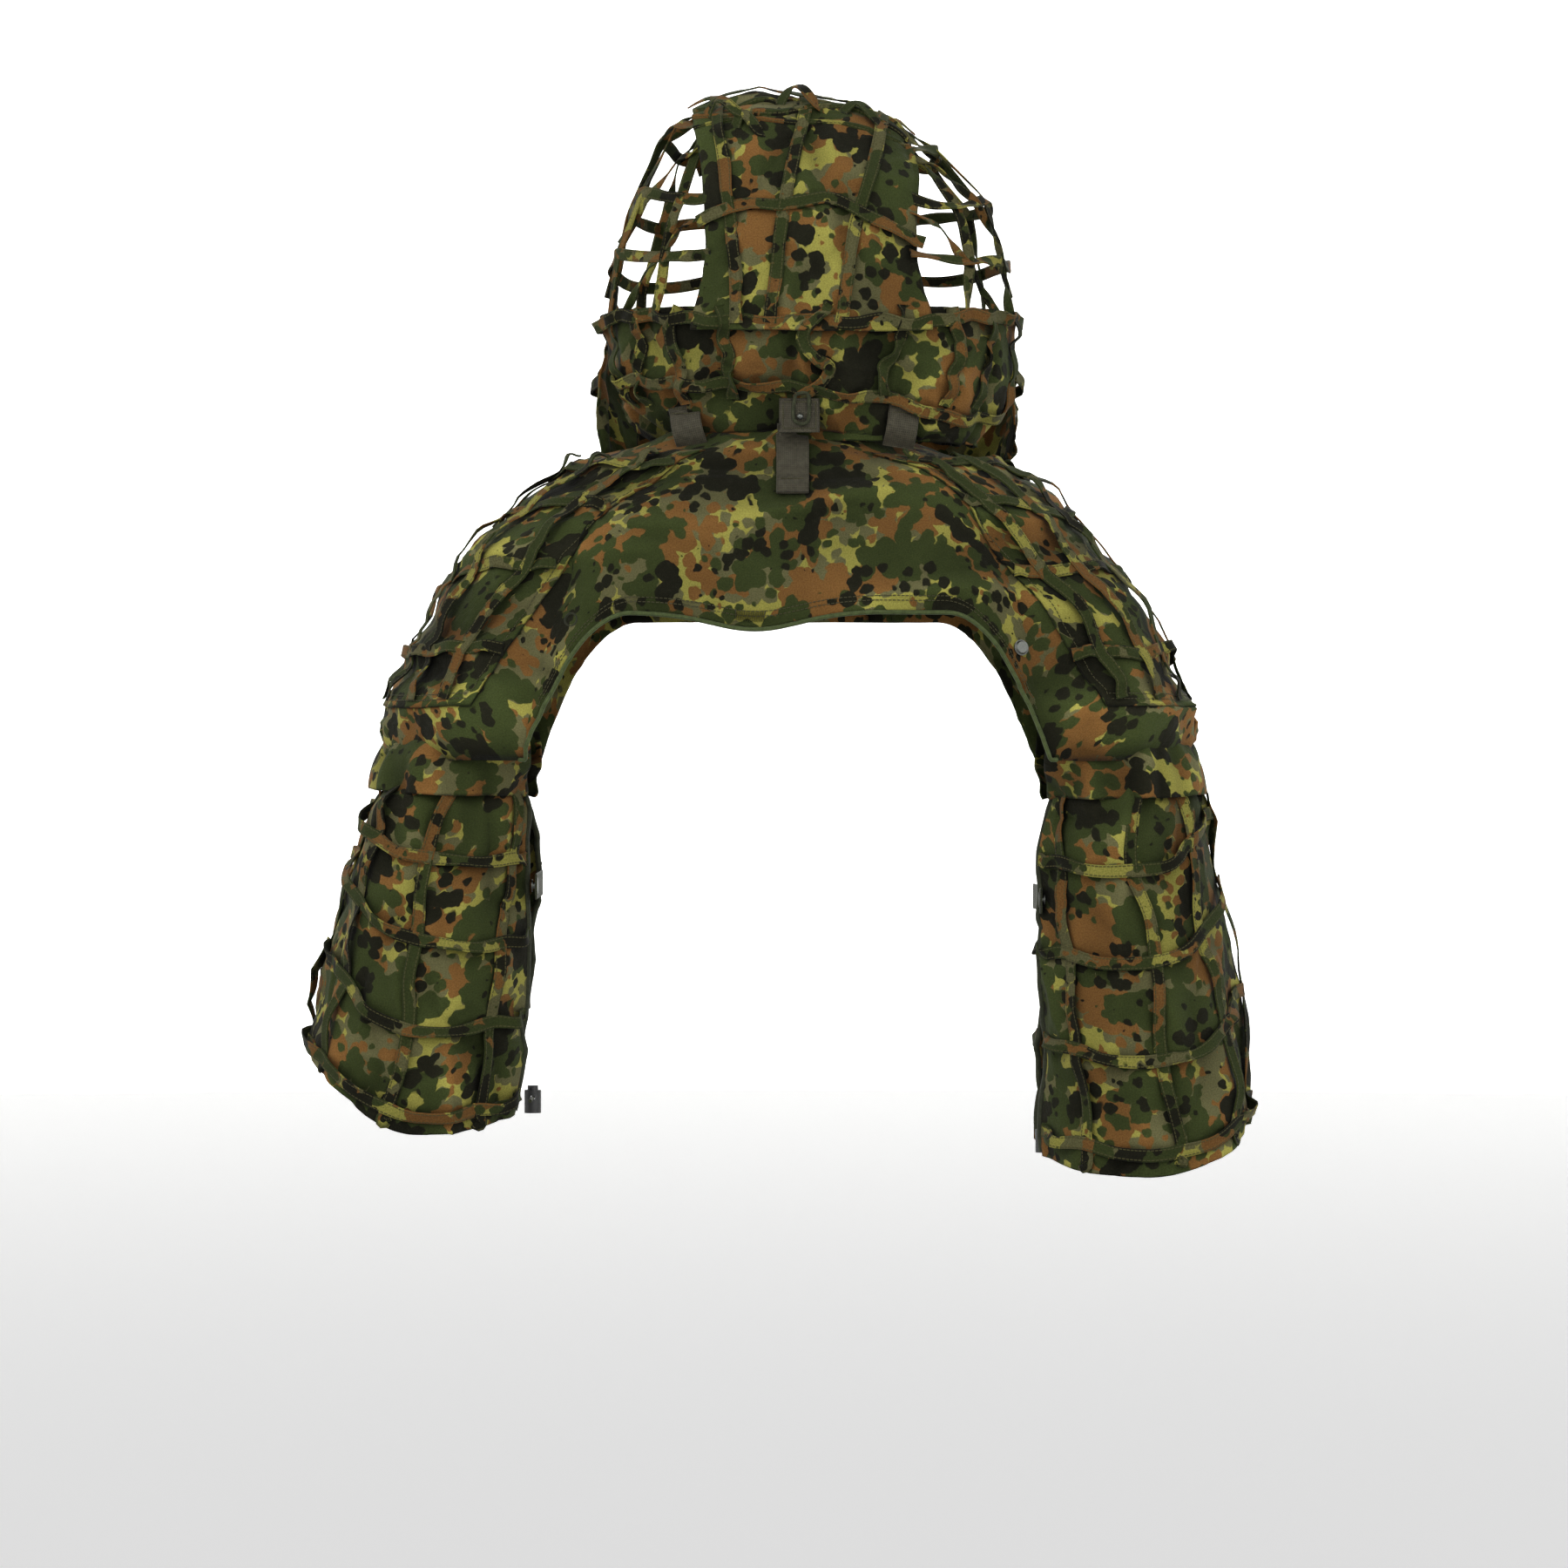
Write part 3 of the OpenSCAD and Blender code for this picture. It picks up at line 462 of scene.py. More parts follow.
def scaleColour(tree, colour, factor):  # colour times a grey factor
    mixer = addNode(tree, "Mix", values={0: 1.0}, links={6: colour, 7: factor}, data_type="RGBA",
        blend_type="MULTIPLY")
    return mixer.outputs[2]


def weaveHeight(tree, coords, spacing):  # warp and weft ribs crossing at that spacing in metres
    warp = addNode(tree, "TexWave", values={"Scale": 1 / spacing / 3.14, "Distortion": 0.6, "Detail": 1.0},
        links={"Vector": coords},
                   bands_direction="X")
    weft = addNode(tree, "TexWave", values={"Scale": 1 / spacing / 3.14, "Distortion": 0.6, "Detail": 1.0},
        links={"Vector": coords},
                   bands_direction="Y")
    return mathNode(tree, "MAXIMUM", warp.outputs[1], weft.outputs[1])


def creaseShade(tree, reach):  # painted shade held in creases and under tapes, within that reach in metres
    hollow = addNode(tree, "AmbientOcclusion", values={"Distance": reach}, samples=6)
    shade = mapRange(tree, hollow.outputs["AO"], (0.25, 0.95), (0.38, 1.0))
    return shade


def camoTwill(name, shade=1.0):
    # Printed cotton twill: matt, slightly fuzzy, faded along sewn edges, with painted light on fold crests and
    # painted shade down in creases and under tapes.
    material, tree, principled = newMaterial(name, **{"Roughness": 0.92, "Sheen Weight": 0.02, "Sheen Roughness": 0.5,
                                                      "Specular IOR Level": 0.07})
    coords, colour = camoPattern(tree, shade)
    relief = addNode(tree, "Attribute", attribute_name="relief")
    wear = addNode(tree, "Attribute", attribute_name="wear")
    # painted light and shade: the colour lightened on fold crests and darkened in fold hollows by the relief
    # attribute
    height = mapRange(tree, relief.outputs["Fac"], (-1.8, 2.2), (0.62, 1.25))
    worn = mapRange(tree, wear.outputs["Fac"], (0.0, 1.0), (0.0, 0.08))
    cloudy = flatNoise(tree, coords, Scale=9.0, Detail=4.0)
    fade = mapRange(tree, cloudy.outputs[0], (0.3, 0.7), (0.86, 1.12))
    grain = flatNoise(tree, coords, Scale=900.0, Detail=2.0)
    speck = mapRange(tree, grain.outputs[0], (0.3, 0.7), (0.82, 1.18))
    total = mathNode(tree, "ADD", height, worn)
    total = mathNode(tree, "MULTIPLY", total, fade)
    total = mathNode(tree, "MULTIPLY", total, speck)
    # painted shade: the colour darkened by ambient occlusion in creases and under tapes
    total = mathNode(tree, "MULTIPLY", total, creaseShade(tree, 0.022))
    tree.links.new(scaleColour(tree, colour, total), principled.inputs["Base Color"])
    crumple = flatNoise(tree, coords, Scale=70.0, Detail=3.0, Roughness=0.6)
    rough = addNode(tree, "Bump", values={"Strength": 0.55, "Distance": 0.0030}, links={"Height": crumple.outputs[0]})
    # threads are 0.4 mm apart; drawn at 1.1 mm so that they show
    fine = addNode(tree, "Bump", values={"Strength": 0.35, "Distance": 0.0004},
                   links={"Height": weaveHeight(tree, coords, 1.1 * mm), "Normal": rough.outputs[0]})
    tree.links.new(fine.outputs[0], principled.inputs["Normal"])
    return material


def camoTape(name, shade=0.72):
    # Folded cotton tape: the same print drawn darker by the shade factor as painted shade, with a row of tan lock
    # stitches near each edge.
    material, tree, principled = newMaterial(name, **{"Roughness": 0.9, "Sheen Weight": 0.02,
        "Specular IOR Level": 0.07})
    # painted shade: the tape's print drawn at the shade factor of the cloth's brightness, so that the tapes look
    # shadowed
    coords, colour = camoPattern(tree, shade)
    across = addNode(tree, "Attribute", attribute_name="across").outputs["Fac"]
    run = addNode(tree, "Attribute", attribute_name="run").outputs["Fac"]
    distance = mathNode(tree, "ABSOLUTE", across)
    distance = mathNode(tree, "SUBTRACT", distance, 0.72)
    distance = mathNode(tree, "ABSOLUTE", distance)
    line = mapRange(tree, distance, (0.05, 0.11), (1.0, 0.0))
    dash = mathNode(tree, "MULTIPLY", run, 1 / (3.2 * mm))
    dash = mathNode(tree, "FRACT", dash)
    dash = mapRange(tree, dash, (0.68, 0.76), (1.0, 0.0))
    stitch = mathNode(tree, "MULTIPLY", line, dash)
    grain = flatNoise(tree, coords, Scale=700.0, Detail=2.0)
    speck = mapRange(tree, grain.outputs[0], (0.3, 0.7), (0.78, 1.2))
    colour = scaleColour(tree, colour, speck)
    thread = addNode(tree, "Mix", links={0: stitch, 6: colour}, data_type="RGBA")
    thread.inputs[7].default_value = linearColour("#3B3922")
    tree.links.new(thread.outputs[2], principled.inputs["Base Color"])
    groove = addNode(tree, "Bump", values={"Strength": 0.7, "Distance": -0.0005}, links={"Height": line})
    fine = addNode(tree, "Bump", values={"Strength": 0.35, "Distance": 0.0004},
                   links={"Height": weaveHeight(tree, coords, 1.1 * mm), "Normal": groove.outputs[0]})
    tree.links.new(fine.outputs[0], principled.inputs["Normal"])
    return material


def wovenWebbing(name, code, spacing, shade=0.5):
    # Nylon webbing or tape: ribs across it, fine threads along it, painted shade in the weave's low parts, a slight
    # sheen.
    material, tree, principled = newMaterial(name, **{"Roughness": 0.7, "Sheen Weight": 0.03,
        "Specular IOR Level": 0.15})
    coords = addNode(tree, "UVMap", uv_map="flat").outputs[0]
    height = weaveHeight(tree, coords, spacing)
    cloudy = flatNoise(tree, coords, Scale=220.0, Detail=4.0, Roughness=0.7)
    # painted shade: the weave's low parts drawn at the shade factor of the colour
    threads = addNode(tree, "Mix", links={0: height}, data_type="RGBA")
    threads.inputs[6].default_value = linearColour(code, shade)
    threads.inputs[7].default_value = linearColour(code)
    speck = mapRange(tree, cloudy.outputs[0], (0.3, 0.7), (0.75, 1.25))
    tree.links.new(scaleColour(tree, threads.outputs[2], speck), principled.inputs["Base Color"])
    bump = addNode(tree, "Bump", values={"Strength": 0.6, "Distance": 0.0004}, links={"Height": height})
    tree.links.new(bump.outputs[0], principled.inputs["Normal"])
    return material


def hardStuff(name, code, grain, depth, **shader):
    # Metal or plastic: object-space grain that varies colour, roughness and bump.
    material, tree, principled = newMaterial(name, **shader)
    coords = addNode(tree, "TexCoord").outputs["Object"]
    noise = addNode(tree, "TexNoise", values={"Scale": grain, "Detail": 5.0}, links={"Vector": coords})
    tint = mapRange(tree, noise.outputs[0], (0.3, 0.7), (0.8, 1.15))
    base = addNode(tree, "RGB")
    base.outputs[0].default_value = linearColour(code)
    tree.links.new(scaleColour(tree, base.outputs[0], tint), principled.inputs["Base Color"])
    rough = mapRange(tree, noise.outputs[0], (0.3, 0.7), (shader["Roughness"] * 0.75, shader["Roughness"] * 1.3))
    tree.links.new(rough, principled.inputs["Roughness"])
    bump = addNode(tree, "Bump", values={"Strength": 0.3, "Distance": depth}, links={"Height": noise.outputs[0]})
    tree.links.new(bump.outputs[0], principled.inputs["Normal"])
    return material


twill = camoTwill("printedCottonTwill")
tapeCloth = camoTape("foldedCottonTape")
webbingCloth = wovenWebbing("nylonWebbing", "#38352A", 1.6 * mm)
bindingCloth = wovenWebbing("cottonBinding", "#3E4828", 1.0 * mm, 0.6)
edgeCloth = wovenWebbing("foldedEdge", "#2A2D1F", 1.0 * mm, 0.6)
# painted shade: this mesh's weave grooves drawn at 0.12 of its colour
meshCloth = wovenWebbing("knittedMesh", "#3A3526", 2.2 * mm, 0.12)
elasticCloth = wovenWebbing("braidedElastic", "#2C2F1E", 1.3 * mm)
threadCloth = wovenWebbing("polyesterThread", "#45432A", 0.8 * mm)
nickel = hardStuff("nickelPlatedSteel", "#5A5C58", 700.0, 0.0001, Metallic=1.0, Roughness=0.38)
springSteel = hardStuff("drawnSpringSteel", "#9A9C9A", 900.0, 0.0001, Metallic=1.0, Roughness=0.35)
lockNylon = hardStuff("mouldedNylon", "#191A19", 500.0, 0.0002, Roughness=0.5)
print("materials ready")


def dress(piece, body, slotName, *nodes, blendWith=None, start=None, end=None):
    if blendWith:
        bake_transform(piece)
    else:
        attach(piece, body)
    if nodes:
        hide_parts(*nodes)


# a sheet of camouflage cloth: what it rides and stands for; what it rests on is not used
def layCloth(piece, body, node, held, restsOn, **bend):
    dress(piece, body, "camo_cloth", node, **bend)


def turnAt(x):
    return float(np.degrees(np.arccos(np.clip(signedPower(x / cape["halfWidth"], 1.5), -1, 1))))


backYoke = clothPiece("backYoke", capeSurface, capeFolds, grid(180.3, 359.7, 260), grid(0, 1, 76), twill)
layCloth(backYoke, "cape", "back_yoke", "hung", ["neckMesh"])
frontLeft = clothPiece("frontPanelLeft", capeSurface, capeFolds, grid(turnAt(-0.014) - 6, 179.7, 130),
    grid(0, 1, 60), twill,
                       shift=(0.4, 0.1), grain=0.0)
layCloth(frontLeft, "cape", "front_panel_left", "hung", ["backYoke"])
frontRight = clothPiece("frontPanelRight", capeSurface, capeFolds, grid(0.3, turnAt(0.084), 110), grid(0, 1, 60),
    twill,
                        shift=(0.9, 0.3), grain=1.0)
layCloth(frontRight, "cape", "front_panel_right", "hung", ["backYoke"])
flapCloth = clothPiece("frontFlapCloth", capeSurface, capeFolds, grid(turnAt(0.092), turnAt(-0.008), 60),
    grid(0.34, 1, 50), twill,
                       lift=3.2 * mm, shift=(1.3, 0.6), grain=1.0)
layCloth(flapCloth, "flap", "front_flap", "hung", ["frontPanelRight"])

for side in (-1, 1):
    name = sideName[side].capitalize()
    patch = clothPiece("shoulderPatch" + name, patchSurface(side), capeFolds, grid(-92, 92, 130), grid(0, 1, 60),
        twill,
                       lift=2.0 * mm, shift=(2.1 * side, 0.8))
    layCloth(patch, "cape", "shoulder_patch_" + sideName[side], "stretched", ["backYoke", "frontPanel" + name])
print("cape cloth done")


def latticeTape(mass, surface, folds, nodes, perSpan, lift, rise, rng, sag=0.0, sway=0.0, twist=0.0):
    # A tape through nodes (turn, run): down on the cloth at each node, standing off between them by rise times a
    # random share, sagging down by sag, swaying sideways by sway and twisting by twist radians.
    path = smoothPath(nodes, perSpan)
    p, n = clothPoint(surface, folds, path[:, 0], path[:, 1], lift)
    spans = len(nodes) - 1
    place = np.arange(len(path)) / perSpan
    span = np.minimum(place.astype(int), spans - 1)
    t = place - span
    hump = np.sin(np.pi * t) ** 2
    share = rng.uniform(0.35, 1.0, spans)[span]
    slide = rng.uniform(-1, 1, spans)[span]
    turn = rng.uniform(-1, 1, spans)[span]
    tangent = unit(np.gradient(p, axis=0))
    side = unit(np.cross(tangent, n))
    p = p + n * (hump * rise * share)[:, None] + side * (hump * sway * slide)[:, None]
    p = p - np.array([0, 0, 1]) * (hump * sag * share)[:, None]
    angle = (np.sin(2 * np.pi * t) * 0.5 + np.sin(np.pi * t)) * twist * turn
    tangent = unit(np.gradient(p, axis=0))
    side = unit(np.cross(tangent, n))
    up = np.cross(side, tangent)
    side = side * np.cos(angle)[:, None] + up * np.sin(angle)[:, None]
    mass.ribbon(p, n, tapeSize["width"] * (1 - 0.12 * hump * share), tapeSize["thick"],
                (rng.uniform(0, 5), rng.uniform(0, 5)), sides=side)


for side in (-1, 1):
    rng = np.random.default_rng(40 + side)
    surface = patchSurface(side)
    over, down = Mass(), Mass()
    overRuns = [0.08, 0.31, 0.56, 0.84]
    downTurns = np.array([-80, -56, -32, -8, 18, 44, 72])
    for u in overRuns:
        nodes = [(v + rng.uniform(-3, 3), u + rng.uniform(-0.025, 0.025)) for v in [-90, *downTurns, 90]]
        latticeTape(over, surface, capeFolds, nodes, 8, 3.6 * mm, 4.0 * mm, rng, sway=2 * mm, twist=0.25)
    for v in downTurns:
        nodes = [(v + rng.uniform(-4, 4), u) for u in [0.0, *overRuns, 0.98]]
        latticeTape(down, surface, capeFolds, nodes, 10, 5.2 * mm, 6.0 * mm, rng, sway=2.5 * mm, twist=0.3)
    name = sideName[side].capitalize()
    dress(over.build("shoulderTapesOver" + name, tapeCloth), "cape", "tape_cloth",
        "shoulder_tapes_over_" + sideName[side])
    dress(down.build("shoulderTapesDown" + name, tapeCloth), "cape", "tape_cloth",
        "shoulder_tapes_down_" + sideName[side])
print("shoulder tapes done")

# bias binding rolled over the arched back hem
arch = grid(180 + turnAt(0.205), 360 - turnAt(0.205), 180)
hemPath, hemOut = clothPoint(capeSurface, capeFolds, arch, np.full(180, 0.999), 0.7 * mm)
binding = Mass()
rounded = np.stack([np.cos(grid(0, 2 * np.pi, 15)[:-1]), 0.5 + np.sin(grid(0, 2 * np.pi, 15)[:-1]) * 0.75], -1)
binding.ribbon(hemPath, hemOut, 3.4 * mm, 2.6 * mm, profile=rounded)
dress(binding.build("yokeBinding", bindingCloth), "cape", "binding", "yoke_binding")

# breathing mesh round the neck, inside the hood's skirt
def meshSurface(a, s):
    return np.stack([0.102 * cosd(a), 0.002 + 0.079 * sind(a), mix(0.029, 0.006, s) + 0 * a], -1)


neckMesh = clothPiece("neckMesh", meshSurface, lambda p: softNoise(p, 0.03) * mm, grid(200, 340, 90), grid(0, 1, 12),
    meshCloth,
                      thick=0.8 * mm)
dress(neckMesh, "cape", "mesh", "neck_mesh")

def panelSurface(v, x):  # the panel's sides wander, and spread where it runs onto the skirt
    wander = 1 + 0.05 * softNoise(np.stack([v / 100 * 0.4, np.sign(x), 0 * v], -1), 0.06) + 0.10 * ease((14 - v) / 20)
    return crownSurface(v, x * wander)


hoodPanel = clothPiece("hoodPanel", panelSurface, hoodFolds, grid(-7, 100, 160), grid(-0.083, 0.083, 70), twill,
    lift=0.2 * mm,
                       shift=(3.3, 0.2))
layCloth(hoodPanel, "hood", "hood_panel", "draped", ["hoodSkirt"])
hoodSkirt = clothPiece("hoodSkirt", skirtSurface, hoodFolds, grid(180.4, 359.6, 230), grid(-0.02, 1.10, 62), twill,
    lift=-1.6 * mm,
                       shift=(3.9, 0.9))
hoodBend = dict(blendWith="hood", start=(0, 0, 0.006), end=(0, 0, 0.055))
dress(hoodSkirt, "cape", "camo_cloth", "hood_skirt", **hoodBend)
frontDrape = clothPiece("frontDrapeCloth", drapeSurface, hoodFolds, grid(0.6, 179.4, 180), grid(0, 1, 60), twill,
    lift=-1.4 * mm,
                        shift=(4.6, 1.4))
layCloth(frontDrape, "hood", "front_drape", "draped", ["hoodSkirt"])
print("hood cloth done")

rng = np.random.default_rng(5)
hoodDown, hoodAcross = Mass(), Mass()
for x0, x1 in ((-0.058, -0.066), (-0.030, -0.004), (0.024, 0.056)):   # offsets at the skirt and over the crown
    nodes = [(v, mix(x0, x1, float(ease(v / 50))) + rng.uniform(-3, 3) * mm) for v in (-5, 8, 20, 33, 46, 58, 72, 86,
        99)]
    latticeTape(hoodDown, crownSurface, hoodFolds, nodes, 10, 1.8 * mm, 3.5 * mm, rng, twist=0.3)
for v, bow in ((24.5, 7), (54, 0), (84, 2)):
    nodes = [(v - bow * ((x + 0.02) / 0.1) ** 2 + rng.uniform(-1.5, 1.5), x) for x in grid(-0.086, 0.086, 6)]
    latticeTape(hoodAcross, crownSurface, hoodFolds, nodes, 10, 3.2 * mm, 4 * mm, rng, sag=2 * mm, twist=0.3)
nodes = [(a, 0.07 + 0.05 * math.sin(math.radians(3 * a)) + rng.uniform(-0.02, 0.02)) for a in grid(184, 356, 13)]
latticeTape(hoodAcross, skirtSurface, hoodFolds, nodes, 12, 2.2 * mm, 6 * mm, rng, sag=3 * mm, twist=0.4)
nodes = [(188, 0.45), (202, 0.48), (215, 0.52), (234, 0.57), (250, 0.60), (268, 0.64), (286, 0.70), (310, 0.80),
    (328, 0.80),
         (348, 0.75)]
latticeTape(hoodAcross, skirtSurface, hoodFolds, nodes, 12, 2.2 * mm, 6 * mm, rng, sag=3 * mm, twist=0.5)
for a in (203, 219, 236, 254, 272, 291, 308, 325, 342):
    lean = rng.uniform(-9, 9)
    nodes = [(a + lean * s + rng.uniform(-3, 3), s) for s in (-0.02, 0.25, 0.5, 0.74)]
    latticeTape(hoodDown, skirtSurface, hoodFolds, nodes, 10, 0.8 * mm, 7 * mm, rng, sway=4 * mm, twist=0.8)
for a in (22, 48, 74, 106, 132, 158):
    nodes = [(a + rng.uniform(-2, 2), s) for s in (0.02, 0.26, 0.5, 0.76, 0.96)]
    latticeTape(hoodDown, drapeSurface, hoodFolds, nodes, 10, 0.8 * mm, 6 * mm, rng, sway=4 * mm, twist=0.5)
nodes = [(a, 0.5 + rng.uniform(-0.04, 0.04)) for a in grid(6, 174, 12)]
latticeTape(hoodAcross, drapeSurface, hoodFolds, nodes, 12, 2.2 * mm, 7 * mm, rng, sag=3 * mm, twist=0.5)
dress(hoodDown.build("hoodTapesDown", tapeCloth), "hood", "tape_cloth", "hood_tapes_down")
dress(hoodAcross.build("hoodTapesAcross", tapeCloth), "hood", "tape_cloth", "hood_tapes_across")
brim = Mass()
xs = grid(-0.083, 0.083, 60)
p, n = clothPoint(crownSurface, hoodFolds, np.full(60, 99.5), xs, 0.0)
brim.ribbon(p, n, 5 * mm, 3 * mm, profile=rounded)
dress(brim.build("brimBinding", bindingCloth), "hood", "binding", "brim_binding")


def runAt(z):
    return 1 - z / hood["height"]


netEdge = hood["panelHalf"] - 0.007


def edgeSide(z):  # plan turn behind the ear line at which height z meets the net's inner edge
    level = (1 - (z / hood["height"]) ** 2.6) ** (1 / 2.6)
    return math.degrees(math.acos(min(1, (netEdge / (hood["halfWidth"] * level)) ** 1.3)))


def edgeHeight(t):  # height at which an upright of that turn meets the same edge
    reach = netEdge / (hood["halfWidth"] * math.cos(math.radians(t)) ** (2 / 2.6))
    return hood["height"] * (1 - reach ** 2.6) ** (1 / 2.6)


def tautTape(mass, knots, out, rng, width, sag, roll):
    # A tape pulled straight between knots that lie on the dome, rolling over by up to roll radians and sagging a
    # little.
    steps = 12
    knots = np.asarray(knots)
    path, angle, up = [], [], []
    turns = rng.uniform(-roll, roll, len(knots))
    for k in range(len(knots) - 1):
        t = (np.arange(steps) / steps)[:, None]
        chord = np.linalg.norm(knots[k + 1] - knots[k])
        drop = sag * chord * rng.uniform(0.2, 1) * 4 * t * (1 - t)
        sway = chord * 0.05 * rng.uniform(-1, 1) * np.sin(np.pi * t)
        along = unit(knots[k + 1] - knots[k])
        path.append(mix(knots[k], knots[k + 1], t) - drop * np.array([0, 0, 1]) + sway * np.cross(along, out[k]))
        angle.append(mix(turns[k], turns[k + 1], t[:, 0]) + 0.5 * np.sin(2 * np.pi * t[:, 0]) * turns[k])
        up.append(mix(out[k], out[k + 1], t))
    path = np.concatenate(path + [knots[-1:]])
    angle = np.append(np.concatenate(angle), turns[-1])
    up = unit(np.concatenate(up + [out[-1:]]))
    for _ in range(3):
        path[1:-1] = (path[:-2] + 2 * path[1:-1] + path[2:]) / 4
    side = unit(np.cross(unit(np.gradient(path, axis=0)), up))
    side = side * np.cos(angle)[:, None] + np.cross(side, unit(np.gradient(path, axis=0))) * np.sin(angle)[:, None]
    mass.ribbon(path, up, width, tapeSize["thick"], (rng.uniform(0, 5), rng.uniform(0, 5)), sides=side)


def onDome(pairs, lift):
    a, z = np.array(pairs).T
    p = domeSide(a, runAt(z))
    n = outward(domeSide, a, runAt(z))
    lift = lift + crownTilt(p)[:, None]
    lift[[0, -1]] -= 3 * mm       # the ends are sewn under the cloth
    return p + n * lift, n


net = dict(levels=[0.142, 0.186, 0.230], turns=[48, 20, -8, -36])
for side in (-1, 1):
    rng = np.random.default_rng(93 + side)
    planTurn = lambda t: 180 + t if side < 0 else 360 - t

    def knot(t, z):  # where the crossing near (t, z) really lies: the net is pulled out of square
        w = np.array([math.radians(t) * 0.16, side * 3.0, z])
        return planTurn(t + 8 * float(softNoise(w, 0.04))), z + 0.013 * float(softNoise(w + 4.4, 0.04))

    uprights, rows = Mass(), Mass()
    for t in net["turns"]:
        foot = hood["skirtTop"] if t > 0 else mix(0.128, 0.062,
            float(ease(math.sin(math.radians(planTurn(t))) * 1.15)))
        top = edgeHeight(t)
        pairs = [(planTurn(t), foot - 0.004)] + [knot(t, z) for z in net["levels"] if foot + 0.02 < z < top - 0.015]
        if len(pairs) == 1:
            pairs.append((planTurn(t), (foot + top) / 2))
        p, n = onDome(pairs + [(planTurn(t), top)], 2 * mm)
        tautTape(uprights, p, n, rng, 8.5 * mm, 0.02, 1.1)
    for z in net["levels"]:
        ends = edgeSide(z)
        pairs = [(planTurn(ends), z)] + [knot(t, z) for t in net["turns"] if abs(t) < ends - 5] + [(planTurn(-ends),
            z)]
        p, n = onDome(pairs, 3.5 * mm)
        tautTape(rows, p, n, rng, 9.5 * mm, 0.04, 0.9)
    # loose second tape that wanders from the panel's seam to the skirt
    for z0, z1, t1 in ((0.226, 0.165, 12), (0.176, 0.106, 30)):
        p, n = onDome([(planTurn(mix(edgeSide(z0), t1, k)), mix(z0, z1, k) + 0.008 * math.sin(5 * k)) for k in (0,
            0.3, 0.62, 1)], mm)
        tautTape(rows, p, n, rng, 7 * mm, 0.05, 1.4)
    name = sideName[side].capitalize()
    dress(uprights.build("netHoops" + name, tapeCloth), "hood", "tape_cloth", "net_hoops_" + sideName[side])
    dress(rows.build("netRows" + name, tapeCloth), "hood", "tape_cloth", "net_rows_" + sideName[side])
print("hood tapes and nets done")

